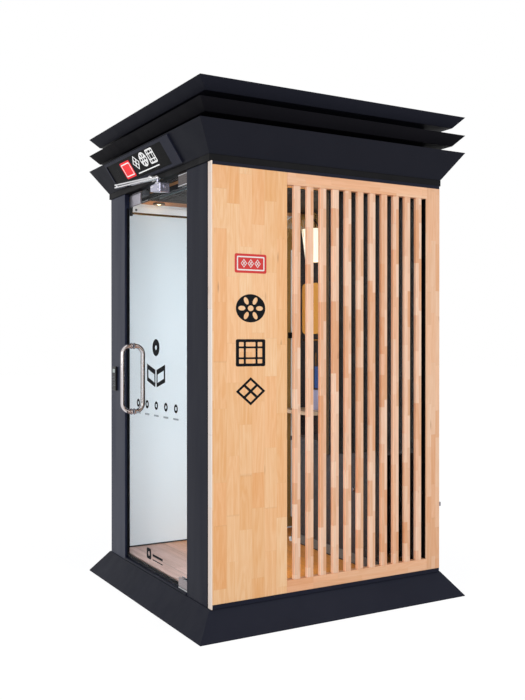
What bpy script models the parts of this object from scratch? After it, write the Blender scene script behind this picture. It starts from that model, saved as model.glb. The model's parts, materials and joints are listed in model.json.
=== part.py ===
"""Reading booth: a one-person steel cabin with a glass swing door, a slatted timber side and a tiered roof.

Metres, +Z up. The origin is on the floor, under the middle of the base. The door faces -Y, the slats face +X.
"""

import math

import bmesh
import bpy
from mathutils import Matrix, Vector

# Clearances: between touching pieces, round a pin, what a cutter reaches past what it cuts,
# and how far a pin's end lies inside what it is joined to
GAP = 0.0003
PIN_CLEARANCE = 0.0005
OVERCUT = 0.010
PIN_SEAT = 0.001
SMOOTH_ANGLE = 32.0

# Overall size of the base and of the eaves
WIDTH = 1.475
DEPTH = 1.535
HEIGHT = 2.500

# Small edge widths
METAL_EDGE = 0.0015
TIMBER_EDGE = 0.001
MOULDED_EDGE = 0.003
CAST_EDGE = 0.004
DESK_EDGE = 0.002

# Base
SKIRT_RISE = 0.122
SKIRT_INSET = 0.092
SKIRT_LIP = 0.004
SHEET = 0.003
FLANGE_WIDTH = 0.047
CROSS_BAR = 0.080
BOARD_THICKNESS = 0.010
FLOOR_TOP = 0.140

# Cabin frame
BODY_INSET_X = 0.1065
BODY_INSET_Y = 0.0955
FRONT_DEPTH = 0.030
LEFT_POST_WIDTH = 0.2145
RIGHT_POST_WIDTH = 0.2179
POST_WALL = 0.003
SIDE_FRAME_DEPTH = 0.030
SIDE_FRAME_BAR = 0.060
NECK_HEIGHT = 0.0315
CORNER_GROOVE = 0.0075
THRESHOLD_RISE = 0.013
THRESHOLD_NOSE = 0.004
THRESHOLD_INSIDE = 0.018

# Walls
PANEL_SHEET = 0.002
WALL_BOARD = 0.0285
CEILING_THICKNESS = 0.016
CEILING_EDGE = 0.055

# Slatted timber side
TIMBER = 0.035
TIMBER_INSET = 0.0825
TIMBER_BACK_GAP = 0.008
TIMBER_GAP_BOTTOM = 0.0205
TIMBER_GAP_TOP = 0.017
EDGE_BATTEN = 0.006
BOARD_WIDTH = 0.394
RAIL_HEIGHT = 0.058
SLAT_COUNT = 11
SLAT_WIDTH = 0.035
SLAT_DEPTH = 0.020
STILE_WIDTH = 0.083
GLASS_SIDE = 0.006
GLASS_SIDE_SETBACK = 0.008
INNER_PANEL_THICKNESS = 0.025
INNER_PANEL_LENGTH = 0.651
INNER_PANEL_TOP_GAP = 0.047

# Door
DOOR_GLASS = 0.012
DOOR_SETBACK = 0.020
DOOR_EDGE_GAP = 0.004
DOOR_FOOT_GAP = 0.0085
DOOR_HEAD_GAP = 0.012
PIVOT_BACKSET = 0.055
PATCH_LENGTH = 0.104
PATCH_THICKNESS = 0.030
PATCH_HEIGHT_BOTTOM = 0.043
PATCH_HEIGHT_TOP = 0.058
PATCH_WEB = 0.018
PATCH_RUN = 0.004
PIVOT_PLATE = 0.004
PIVOT_PIN_RADIUS = 0.006
PIVOT_PIN_LENGTH = 0.012

# Handles
HANDLE_FROM_EDGE = 0.067
HANDLE_CENTRE_Z = 1.127
HANDLE_SPAN = 0.360
HANDLE_REACH = 0.061
HANDLE_RADIUS = 0.0125
HANDLE_BEND = 0.046
HANDLE_BEND_POINTS = 7
STUD_RADIUS = 0.005
STUD_REACH = 0.023
STUD_CLEARANCE = 0.001

# Lock at the head of the door
LOCK_LENGTH = 0.165
LOCK_DEPTH = 0.040
LOCK_HEIGHT = 0.026
ARMATURE_LENGTH = 0.150
ARMATURE_HEIGHT = 0.060
ARMATURE_THICKNESS = 0.012
ARMATURE_FROM_EDGE = 0.012
ARMATURE_HEAD_GAP = 0.002
LOCK_OVERHANG = 0.006
LOCK_GAP = 0.001

# Door closer
CLOSER_LENGTH = 0.120
CLOSER_DEPTH = 0.056
CLOSER_HEIGHT = 0.052
CLOSER_BELOW_NECK = 0.0251
SPINDLE_FROM_PIVOT = 0.235
SPINDLE_OUT = 0.042
SPINDLE_RADIUS = 0.008
SPINDLE_FROM_END = 0.068
SHOE_FROM_PIVOT = 0.310
SHOE_OUT = 0.045
ELBOW_FROM_PIVOT = 0.610
ELBOW_OUT = 0.118
ARM_ABOVE_NECK = 0.0019
ARM_THICKNESS = 0.007
ARM_WIDTH = 0.022
ARM_HUB_RADIUS = 0.013
ARM_LIFT = 0.006
ELBOW_PIN_RADIUS = 0.005
SHOE_WIDTH = 0.060
SHOE_PLATE = 0.004
SHOE_LUG = 0.0045
SHOE_FOOT = 0.002

# Reader on the left front post
READER_WIDTH = 0.056
READER_HEIGHT = 0.136
READER_DEPTH = 0.012
READER_CENTRE_Z = 1.121
READER_FROM_EDGE = 0.0735

# Fascia, sign and eaves
FASCIA_HEIGHT = 0.137
EAVES_HEIGHT = 0.1844
FASCIA_INSET = 0.090
TIER_INSET = 0.048
TIER_DROP = 0.0527
TIER_SPACING = 0.0942
TIER_NECK_INSET = 0.150
TIER_FOOT = 0.020
SIGN_FROM_LEFT = 0.1775
SIGN_FROM_RIGHT = 0.2625
SIGN_FROM_FOOT = 0.0082
SIGN_FROM_TOP = 0.0065
SIGN_THICKNESS = 0.010

# Ceiling fittings
LIGHT_FROM_LEFT = 0.0802
LIGHT_FROM_FRONT = 0.222
LIGHT_RADIUS = 0.035
LIGHT_DROP = 0.012
FAN_FROM_LEFT = 0.3872
FAN_FROM_FRONT = 0.197
FAN_SIZE = 0.160
FAN_HEIGHT = 0.040
FAN_BORE = 0.070
FAN_CAN_RISE = 0.004
FAN_BLADES = 7
FAN_HUB_RADIUS = 0.022
FAN_BLADE_RADIUS = 0.066
FAN_BLADE_ROOT = 0.0154
FAN_BLADE_THICKNESS = 0.0025
FAN_BLADE_WIDTH = 0.024
FAN_BLADE_PITCH = 35.0
FAN_BAR = 0.008

# Desk and fittings inside
DESK_DEPTH = 0.331
DESK_FROM_LEFT = 0.335
DESK_HEIGHT = 0.605
DESK_TOP_THICKNESS = 0.025
DESK_TOP_OVERHANG = 0.015
DESK_BOARD = 0.018
SHELF_ABOVE_DESK = 0.1124
SHELF_LENGTH = 0.340
SHELF_DEPTH = 0.200
SHELF_THICKNESS = 0.022
SCREEN_WIDTH = 0.520
SCREEN_HEIGHT = 0.320
SCREEN_DEPTH = 0.035
SCREEN_FROM_SIDE = 0.1794
SCREEN_ABOVE_DESK = 0.2294
INLET_WIDTH = 0.060
INLET_HEIGHT = 0.050
INLET_DEPTH = 0.020
INLET_Z = 0.500
INLET_FROM_POST = 0.045

# Worked out from the sizes above
HALF_X = WIDTH / 2
HALF_Y = DEPTH / 2
BODY_X = HALF_X - BODY_INSET_X
BODY_Y = HALF_Y - BODY_INSET_Y
FASCIA_TOP = HEIGHT - EAVES_HEIGHT
NECK_TOP = FASCIA_TOP - FASCIA_HEIGHT
NECK_BOTTOM = NECK_TOP - NECK_HEIGHT
STAND_Z = SKIRT_RISE + GAP
FRAME_TOP = NECK_BOTTOM - GAP
TIMBER_FACE_X = HALF_X - TIMBER_INSET
TIMBER_BACK_X = TIMBER_FACE_X - TIMBER
SIDE_OUT_X = TIMBER_BACK_X - 2 * GAP
SIDE_IN_X = SIDE_OUT_X - SIDE_FRAME_DEPTH
DOORWAY_LEFT = -BODY_X + LEFT_POST_WIDTH
RIGHT_EDGE = SIDE_OUT_X - CORNER_GROOVE
DOORWAY_RIGHT = RIGHT_EDGE - RIGHT_POST_WIDTH
FRONT_IN_Y = -BODY_Y + FRONT_DEPTH
BACK_POST = PANEL_SHEET + GAP + WALL_BOARD
ROOM_BACK_Y = BODY_Y - BACK_POST
ROOM_LEFT_X = -BODY_X + BACK_POST
DOOR_Y = -BODY_Y + DOOR_SETBACK
DOOR_LEFT = DOORWAY_LEFT + DOOR_EDGE_GAP
DOOR_RIGHT = DOORWAY_RIGHT - DOOR_EDGE_GAP
THRESHOLD_TOP = SKIRT_RISE + THRESHOLD_RISE
DOOR_FOOT = THRESHOLD_TOP + DOOR_FOOT_GAP
DOOR_HEAD = NECK_BOTTOM - DOOR_HEAD_GAP
PIVOT_X = DOOR_RIGHT - PIVOT_BACKSET
THRESHOLD_IN_Y = DOOR_Y + PATCH_THICKNESS / 2 + THRESHOLD_INSIDE
CEILING_Z = FRAME_TOP - CEILING_THICKNESS
DESK_TOP = FLOOR_TOP + 2 * GAP + DESK_HEIGHT + DESK_TOP_THICKNESS
FAN_AT = (ROOM_LEFT_X + FAN_FROM_LEFT, FRONT_IN_Y + FAN_FROM_FRONT)

collection = bpy.data.collections.new("reading_booth")
cutters = bpy.data.collections.new("cutters")


def clear_scene():
    for item in list(bpy.data.objects):
        bpy.data.objects.remove(item, do_unlink=True)
    bpy.context.scene.collection.children.link(collection)
    bpy.context.scene.collection.children.link(cutters)


def material(name, colour, roughness, metallic=0.0):
    made = bpy.data.materials.new(name)
    made.use_nodes = True
    shader = made.node_tree.nodes["Principled BSDF"]
    shader.inputs["Base Color"].default_value = (*colour, 1.0)
    shader.inputs["Roughness"].default_value = roughness
    shader.inputs["Metallic"].default_value = metallic
    return made


def finish_object(name, mesh, look):
    item = bpy.data.objects.new(name, mesh)
    collection.objects.link(item)
    mesh.materials.append(material(name + "_finish", *look))
    return item


BLACK_PAINT = ((0.035, 0.037, 0.045), 0.5, 0.1)
OAK = ((0.78, 0.52, 0.30), 0.5, 0.0)
FLOOR_OAK = ((0.62, 0.42, 0.30), 0.5, 0.0)
WHITE_BOARD = ((0.75, 0.80, 0.82), 0.6, 0.0)
DARK_BOARD = ((0.03, 0.03, 0.032), 0.6, 0.0)
CLEAR_GLASS = ((0.80, 0.88, 0.88), 0.05, 0.0)
SMOKED_GLASS = ((0.10, 0.10, 0.10), 0.05, 0.0)
STEEL = ((0.60, 0.58, 0.57), 0.3, 1.0)
POLISHED = ((0.75, 0.74, 0.73), 0.1, 1.0)
SILVER_PAINT = ((0.55, 0.55, 0.60), 0.4, 0.6)
BLACK_PLASTIC = ((0.02, 0.02, 0.025), 0.35, 0.0)
LAMP_WHITE = ((0.9, 0.85, 0.7), 0.3, 0.0)
RAW_STEEL = ((0.2, 0.2, 0.2), 0.6, 0.5)
PLYWOOD = ((0.5, 0.38, 0.24), 0.7, 0.0)


def box_mesh(name, low, high):
    low, high = Vector(low), Vector(high)
    mesh = bpy.data.meshes.new(name)
    shape = bmesh.new()
    bmesh.ops.create_cube(shape, size=1.0)
    size, centre = high - low, (low + high) / 2
    for vertex in shape.verts:
        vertex.co = Vector(vertex.co[i] * size[i] + centre[i] for i in range(3))
    shape.to_mesh(mesh)
    shape.free()
    return mesh


def box(name, low, high, look, round_edges=0.0):
    item = finish_object(name, box_mesh(name, low, high), look)
    if round_edges:
        bevel(item, round_edges)
    return item


def bevel(item, width, segments=1):
    modifier = item.modifiers.new("rounded_edges", "BEVEL")
    modifier.width = width
    modifier.segments = segments
    modifier.limit_method = "ANGLE"
    return modifier


def shade_round(mesh):
    mesh.shade_smooth()
    mesh.set_sharp_from_angle(angle=math.radians(SMOOTH_ANGLE))


def cylinder(name, centre, radius, low_z, high_z, look, segments=24):
    mesh = bpy.data.meshes.new(name)
    shape = bmesh.new()
    bmesh.ops.create_cone(
        shape, cap_ends=True, segments=segments, radius1=radius, radius2=radius, depth=high_z - low_z
    )
    for vertex in shape.verts:
        vertex.co += Vector((centre[0], centre[1], (low_z + high_z) / 2))
    shape.to_mesh(mesh)
    shape.free()
    shade_round(mesh)
    return finish_object(name, mesh, look)


def combine(item, other, operation):
    other.hide_render = True
    other.display_type = "WIRE"
    for group in list(other.users_collection):
        group.objects.unlink(other)
    cutters.objects.link(other)
    modifier = item.modifiers.new(operation.lower() + "_" + other.name, "BOOLEAN")
    modifier.operation = operation
    modifier.solver = "EXACT"
    modifier.object = other
    return item


def cut_box(item, name, low, high):
    return combine(item, box(name, low, high, RAW_STEEL), "DIFFERENCE")


def join_box(item, name, low, high):
    return combine(item, box(name, low, high, RAW_STEEL), "UNION")


def frame_between(name, low, high, bar, axis, look):
    """A flat rectangular frame whose bars are `bar` wide, open along `axis`."""
    item = box(name, low, high, look)
    hole_low, hole_high = list(low), list(high)
    for i in range(3):
        if i == axis:
            hole_low[i] -= OVERCUT
            hole_high[i] += OVERCUT
        else:
            hole_low[i] += bar
            hole_high[i] -= bar
    return cut_box(item, name + "_hole", hole_low, hole_high)


def box_tube(name, low, high, wall, look):
    """An upright box section, open at its two ends."""
    item = box(name, low, high, look)
    inner_low = (low[0] + wall, low[1] + wall, low[2] - OVERCUT)
    inner_high = (high[0] - wall, high[1] - wall, high[2] + OVERCUT)
    return cut_box(item, name + "_bore", inner_low, inner_high)


def sheet_ring(name, levels, look, closed_top=False):
    """Folded sheet that follows rectangles of half sizes (x, y) at heights z, mitred at its four corners."""
    mesh = bpy.data.meshes.new(name)
    shape = bmesh.new()
    bmesh.ops.create_grid(shape, x_segments=1, y_segments=1, size=1.0)
    half_x, half_y, z = levels[0]
    for vertex in shape.verts:
        vertex.co = (math.copysign(half_x, vertex.co.x), math.copysign(half_y, vertex.co.y), z)
    first_face = list(shape.faces)
    edges = list(shape.edges)
    for half_x, half_y, z in levels[1:]:
        grown = bmesh.ops.extrude_edge_only(shape, edges=edges)["geom"]
        for vertex in (part for part in grown if isinstance(part, bmesh.types.BMVert)):
            vertex.co = (math.copysign(half_x, vertex.co.x), math.copysign(half_y, vertex.co.y), z)
        edges = [part for part in grown if isinstance(part, bmesh.types.BMEdge)]
    bmesh.ops.delete(shape, geom=first_face, context="FACES_ONLY")
    if closed_top:
        bmesh.ops.contextual_create(shape, geom=edges)
    bmesh.ops.recalc_face_normals(shape, faces=shape.faces)
    shape.to_mesh(mesh)
    shape.free()
    item = finish_object(name, mesh, look)
    wall = item.modifiers.new("sheet", "SOLIDIFY")
    wall.thickness = SHEET
    wall.offset = -1.0
    wall.use_even_offset = True
    return item


def curve_tube(name, points, radius, look, segments=3):
    curve = bpy.data.curves.new(name, "CURVE")
    curve.dimensions = "3D"
    curve.bevel_depth = radius
    curve.bevel_resolution = segments
    curve.use_fill_caps = True
    spline = curve.splines.new("POLY")
    spline.points.add(len(points) - 1)
    for target, point in zip(spline.points, points):
        target.co = (*point, 1.0)
    source = bpy.data.objects.new(name + "_path", curve)
    collection.objects.link(source)
    bpy.context.view_layer.update()
    evaluated = source.evaluated_get(bpy.context.evaluated_depsgraph_get())
    mesh = bpy.data.meshes.new_from_object(evaluated)
    shape = bmesh.new()
    shape.from_mesh(mesh)
    bmesh.ops.remove_doubles(shape, verts=shape.verts, dist=0.00001)
    bmesh.ops.recalc_face_normals(shape, faces=shape.faces)
    shape.to_mesh(mesh)
    shape.free()
    bpy.data.objects.remove(source, do_unlink=True)
    mesh.name = name
    mesh.materials.clear()
    shade_round(mesh)
    return finish_object(name, mesh, look)


def ring_span(inset):
    return HALF_X - inset, HALF_Y - inset


def turn_about(name, centre, height, pieces, carrier=None):
    """An empty on a joint's axis, which carries the pieces that turn about it."""
    axis = bpy.data.objects.new(name, None)
    collection.objects.link(axis)
    axis.location = (*centre, height)
    if carrier:
        axis.parent = carrier
        axis.matrix_parent_inverse = Matrix.Translation(carrier.location).inverted()
    to_axis = Matrix.Translation((*centre, height)).inverted()
    for piece in pieces:
        item = bpy.data.objects[piece]
        item.parent = axis
        item.matrix_parent_inverse = to_axis
    return axis


def make_base():
    edge = ring_span(SKIRT_INSET)
    cross_top = SKIRT_RISE - SHEET - GAP
    half = CROSS_BAR / 2
    cross = box("base_frame", (-BODY_X, -half, 0.0), (BODY_X, half, cross_top), RAW_STEEL)
    join_box(cross, "base_cross_bar", (-half, -BODY_Y, 0.0), (half, BODY_Y, cross_top))
    sheet_ring(
        "base_skirt",
        [
            (HALF_X, HALF_Y, 0.0),
            (HALF_X, HALF_Y, SKIRT_LIP),
            (*edge, SKIRT_RISE),
            (edge[0] - FLANGE_WIDTH, edge[1] - FLANGE_WIDTH, SKIRT_RISE),
        ],
        BLACK_PAINT,
    )
    deck_x, deck_y = edge[0] - FLANGE_WIDTH - GAP, edge[1] - FLANGE_WIDTH - GAP
    boards_low = FLOOR_TOP - BOARD_THICKNESS
    box(
        "floor_deck",
        (-deck_x, THRESHOLD_IN_Y + GAP, cross_top + GAP),
        (SIDE_IN_X - GAP, deck_y, boards_low - GAP),
        PLYWOOD,
    )
    box(
        "floor_boards",
        (ROOM_LEFT_X + GAP, THRESHOLD_IN_Y + GAP, boards_low),
        (SIDE_IN_X - GAP, ROOM_BACK_Y - GAP, FLOOR_TOP),
        FLOOR_OAK,
    )
    box(
        "threshold",
        (DOORWAY_LEFT + GAP, -BODY_Y - THRESHOLD_NOSE, STAND_Z),
        (DOORWAY_RIGHT - GAP, THRESHOLD_IN_Y, THRESHOLD_TOP),
        BLACK_PAINT,
        MOULDED_EDGE,
    )


def cut_fan_opening(panel, low_z, high_z):
    name = panel.name + "_opening"
    hole = cylinder(name, FAN_AT, FAN_BORE, low_z - OVERCUT, high_z + OVERCUT, RAW_STEEL, 32)
    combine(panel, hole, "DIFFERENCE")


def make_frame():
    box_tube(
        "post_front_left",
        (-BODY_X, -BODY_Y, STAND_Z),
        (DOORWAY_LEFT, FRONT_IN_Y, FRAME_TOP),
        POST_WALL,
        BLACK_PAINT,
    )
    box_tube(
        "post_front_right",
        (DOORWAY_RIGHT, -BODY_Y, STAND_Z),
        (RIGHT_EDGE, FRONT_IN_Y, FRAME_TOP),
        POST_WALL,
        BLACK_PAINT,
    )
    box_tube(
        "post_back_left",
        (-BODY_X, ROOM_BACK_Y, STAND_Z),
        (-BODY_X + BACK_POST, BODY_Y, FRAME_TOP),
        POST_WALL,
        BLACK_PAINT,
    )
    box_tube(
        "post_back_right",
        (SIDE_OUT_X - BACK_POST, ROOM_BACK_Y, STAND_Z),
        (SIDE_OUT_X, BODY_Y, FRAME_TOP),
        POST_WALL,
        BLACK_PAINT,
    )
    neck = ring_span(FASCIA_INSET)
    roof = box("roof_panel", (-neck[0], -neck[1], NECK_BOTTOM), (neck[0], neck[1], NECK_TOP), BLACK_PAINT)
    cut_fan_opening(roof, NECK_BOTTOM, NECK_TOP)
    frame_between(
        "side_frame",
        (SIDE_IN_X, FRONT_IN_Y + GAP, STAND_Z),
        (SIDE_OUT_X, ROOM_BACK_Y - GAP, FRAME_TOP),
        SIDE_FRAME_BAR,
        0,
        BLACK_PAINT,
    )


def make_walls():
    left_low, left_high = FRONT_IN_Y + GAP, ROOM_BACK_Y - GAP
    box(
        "left_outer_panel",
        (-BODY_X, left_low, STAND_Z),
        (-BODY_X + PANEL_SHEET, left_high, FRAME_TOP),
        BLACK_PAINT,
    )
    box(
        "left_wall_board",
        (-BODY_X + PANEL_SHEET + GAP, left_low, STAND_Z),
        (ROOM_LEFT_X, left_high, FRAME_TOP),
        WHITE_BOARD,
    )
    back_low, back_high = -BODY_X + BACK_POST + GAP, SIDE_OUT_X - BACK_POST - GAP
    box(
        "back_outer_panel",
        (back_low, BODY_Y - PANEL_SHEET, STAND_Z),
        (back_high, BODY_Y, FRAME_TOP),
        BLACK_PAINT,
    )
    box(
        "back_wall_board",
        (back_low, ROOM_BACK_Y, STAND_Z),
        (back_high, BODY_Y - PANEL_SHEET - GAP, FRAME_TOP),
        DARK_BOARD,
    )
    ceiling = box(
        "ceiling_panel",
        (ROOM_LEFT_X + GAP, FRONT_IN_Y + CEILING_EDGE, CEILING_Z),
        (SIDE_IN_X - GAP, ROOM_BACK_Y - GAP, FRAME_TOP),
        OAK,
    )
    cut_fan_opening(ceiling, CEILING_Z, FRAME_TOP)


def make_slatted_side():
    low_z, high_z = STAND_Z + TIMBER_GAP_BOTTOM, NECK_BOTTOM - TIMBER_GAP_TOP
    start = -BODY_Y
    board_start = start + EDGE_BATTEN
    board_end = board_start + BOARD_WIDTH
    end = BODY_Y - TIMBER_BACK_GAP
    screen_end = end - STILE_WIDTH
    slat_gap = (screen_end - board_end - SLAT_COUNT * SLAT_WIDTH) / (SLAT_COUNT + 1)
    box(
        "edge_batten",
        (TIMBER_BACK_X, start, STAND_Z),
        (TIMBER_FACE_X, board_start - GAP, NECK_BOTTOM - GAP),
        OAK,
        TIMBER_EDGE,
    )
    board_low, board_high = (TIMBER_BACK_X, board_start, low_z), (TIMBER_FACE_X, board_end, high_z)
    box("side_board", board_low, board_high, OAK, TIMBER_EDGE)
    for name, low, high in (
        ("slat_rail_bottom", low_z, low_z + RAIL_HEIGHT),
        ("slat_rail_top", high_z - RAIL_HEIGHT, high_z),
    ):
        rail_low, rail_high = (TIMBER_BACK_X, board_end + GAP, low), (TIMBER_FACE_X, screen_end - GAP, high)
        box(name, rail_low, rail_high, OAK, TIMBER_EDGE)
    box("end_stile", (TIMBER_BACK_X, screen_end, low_z), (TIMBER_FACE_X, end, high_z), OAK, TIMBER_EDGE)
    for i in range(SLAT_COUNT):
        left = board_end + slat_gap + i * (SLAT_WIDTH + slat_gap)
        box(
            f"slat_{i + 1:02d}",
            (TIMBER_FACE_X - SLAT_DEPTH, left, low_z + RAIL_HEIGHT + GAP),
            (TIMBER_FACE_X, left + SLAT_WIDTH, high_z - RAIL_HEIGHT - GAP),
            OAK,
            TIMBER_EDGE,
        )
    pane_x = SIDE_OUT_X - GLASS_SIDE_SETBACK
    bar = SIDE_FRAME_BAR + GAP
    box(
        "side_glass",
        (pane_x - GLASS_SIDE, FRONT_IN_Y + GAP + bar, STAND_Z + bar),
        (pane_x, ROOM_BACK_Y - GAP - bar, FRAME_TOP - bar),
        SMOKED_GLASS,
    )
    inner_high, inner_back = SIDE_IN_X - GAP, ROOM_BACK_Y - GAP
    box(
        "side_inner_panel",
        (inner_high - INNER_PANEL_THICKNESS, inner_back - INNER_PANEL_LENGTH, DESK_TOP + GAP),
        (inner_high, inner_back, NECK_BOTTOM - INNER_PANEL_TOP_GAP),
        DARK_BOARD,
        TIMBER_EDGE,
    )


def make_patch(name, foot, height, upward):
    """Clamp on a corner of the glass, with a slot for the glass and a socket for the pivot pin."""
    low, high = (foot, foot + height) if upward else (foot - height, foot)
    half = PATCH_THICKNESS / 2
    patch = box(
        name,
        (DOOR_RIGHT - PATCH_LENGTH, DOOR_Y - half, low),
        (DOOR_RIGHT, DOOR_Y + half, high),
        STEEL,
        METAL_EDGE,
    )
    slot = DOOR_GLASS / 2 + GAP
    slot_low = low + PATCH_WEB if upward else low - OVERCUT
    slot_high = high + OVERCUT if upward else high - PATCH_WEB
    cut_box(
        patch,
        name + "_slot",
        (DOOR_RIGHT - PATCH_LENGTH - OVERCUT, DOOR_Y - slot, slot_low),
        (DOOR_RIGHT + OVERCUT, DOOR_Y + slot, slot_high),
    )
    mouth = low if upward else high
    depth = PIVOT_PIN_LENGTH if upward else -PIVOT_PIN_LENGTH
    socket_low, socket_high = sorted((mouth - math.copysign(OVERCUT, depth), mouth + depth))
    socket_radius = PIVOT_PIN_RADIUS + PIN_CLEARANCE
    socket = cylinder(name + "_socket", (PIVOT_X, DOOR_Y), socket_radius, socket_low, socket_high, RAW_STEEL)
    combine(patch, socket, "DIFFERENCE")


def make_pivot_plate(name, plate_low, pin_low, pin_high):
    half = PATCH_THICKNESS / 2
    plate = box(
        name,
        (DOOR_RIGHT - PATCH_LENGTH, DOOR_Y - half, plate_low),
        (DOORWAY_RIGHT - 2 * GAP, DOOR_Y + half, plate_low + PIVOT_PLATE),
        STEEL,
    )
    pin = cylinder(name + "_pin", (PIVOT_X, DOOR_Y), PIVOT_PIN_RADIUS, pin_low, pin_high, STEEL)
    combine(plate, pin, "UNION")


def handle_points(side):
    """Half of a D handle in the plane across the door: out of the glass, round a bend, up to the middle."""
    x = DOOR_LEFT + HANDLE_FROM_EDGE
    face = side * (DOOR_GLASS / 2 + GAP)
    reach = side * HANDLE_REACH
    top = HANDLE_SPAN / 2
    points = [(x, face, top)]
    for i in range(HANDLE_BEND_POINTS):
        turn = math.pi / 2 * i / (HANDLE_BEND_POINTS - 1)
        out = reach - side * HANDLE_BEND * (1 - math.sin(turn))
        points.append((x, out, top - HANDLE_BEND * (1 - math.cos(turn))))
    lower = [(px, py, -pz) for px, py, pz in reversed(points)]
    return [(px, DOOR_Y + py, HANDLE_CENTRE_Z + pz) for px, py, pz in points + lower]


def make_door():
    foot = THRESHOLD_TOP + GAP + PIVOT_PLATE + PATCH_RUN
    head = NECK_BOTTOM - GAP - PIVOT_PLATE - PATCH_RUN
    half = DOOR_GLASS / 2
    glass = box(
        "door_glass",
        (DOOR_LEFT, DOOR_Y - half, DOOR_FOOT),
        (DOOR_RIGHT, DOOR_Y + half, DOOR_HEAD),
        CLEAR_GLASS,
    )
    notch_left = DOOR_RIGHT - PATCH_LENGTH - GAP
    for name, low, high in (
        ("foot_notch", DOOR_FOOT - OVERCUT, foot + PATCH_WEB + GAP),
        ("head_notch", head - PATCH_WEB - GAP, DOOR_HEAD + OVERCUT),
    ):
        notch_low = (notch_left, DOOR_Y - half - OVERCUT, low)
        cut_box(glass, name, notch_low, (DOOR_RIGHT + OVERCUT, DOOR_Y + half + OVERCUT, high))
    make_patch("door_patch_bottom", foot, PATCH_HEIGHT_BOTTOM, True)
    make_patch("door_patch_top", head, PATCH_HEIGHT_TOP, False)
    pin = PIVOT_PIN_LENGTH - PATCH_RUN
    low_plate = THRESHOLD_TOP + GAP
    make_pivot_plate("pivot_plate_bottom", low_plate, low_plate + PIVOT_PLATE / 2, foot + pin)
    high_plate = NECK_BOTTOM - GAP - PIVOT_PLATE
    make_pivot_plate("pivot_plate_top", high_plate, head - pin, high_plate + PIVOT_PLATE / 2)
    outer = curve_tube("handle_outer", handle_points(-1), HANDLE_RADIUS, POLISHED)
    inner = curve_tube("handle_inner", handle_points(1), HANDLE_RADIUS, POLISHED)
    for i, side in enumerate((1, -1)):
        for target, radius, operation, reach in (
            (outer, STUD_RADIUS, "UNION", STUD_REACH),
            (glass, STUD_RADIUS + STUD_CLEARANCE, "DIFFERENCE", STUD_REACH),
            (inner, STUD_RADIUS + STUD_CLEARANCE, "DIFFERENCE", STUD_REACH + STUD_CLEARANCE),
        ):
            tool = cylinder(f"stud_{target.name}_{i + 1}", (0.0, 0.0), radius, -reach, reach, STEEL, 16)
            tool.rotation_euler = (math.pi / 2, 0.0, 0.0)
            height = HANDLE_CENTRE_Z + side * HANDLE_SPAN / 2
            tool.location = (DOOR_LEFT + HANDLE_FROM_EDGE, DOOR_Y, height)
            combine(target, tool, operation)


def make_lock():
    left = DOOR_LEFT + ARMATURE_FROM_EDGE
    face = DOOR_Y + DOOR_GLASS / 2 + GAP
    box(
        "lock_armature",
        (left, face, DOOR_HEAD - ARMATURE_HEIGHT),
        (left + ARMATURE_LENGTH, face + ARMATURE_THICKNESS, DOOR_HEAD - ARMATURE_HEAD_GAP),
        STEEL,
        METAL_EDGE,
    )
    inner = face + ARMATURE_THICKNESS + LOCK_GAP
    box(
        "lock_magnet",
        (left - LOCK_OVERHANG, inner, FRAME_TOP - LOCK_HEIGHT),
        (left - LOCK_OVERHANG + LOCK_LENGTH, inner + LOCK_DEPTH, FRAME_TOP),
        SILVER_PAINT,
        METAL_EDGE,
    )


def bar_between(name, start, end, low_z, look):
    """Flat bar with a round hub at each end."""
    start, end = Vector(start), Vector(end)
    along = end - start
    top_z = low_z + ARM_THICKNESS
    mesh = box_mesh(name, (0.0, -ARM_WIDTH / 2, low_z), (along.length, ARM_WIDTH / 2, top_z))
    turn = math.atan2(along.y, along.x)
    for vertex in mesh.vertices:
        x, y = vertex.co.x, vertex.co.y
        vertex.co.x = start.x + x * math.cos(turn) - y * math.sin(turn)
        vertex.co.y = start.y + x * math.sin(turn) + y * math.cos(turn)
    bar = finish_object(name, mesh, look)
    for label, centre in (("start", start), ("end", end)):
        hub = cylinder(f"{name}_hub_{label}", centre, ARM_HUB_RADIUS, low_z, top_z, look, 28)
        combine(bar, hub, "UNION")
    return bar


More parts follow.
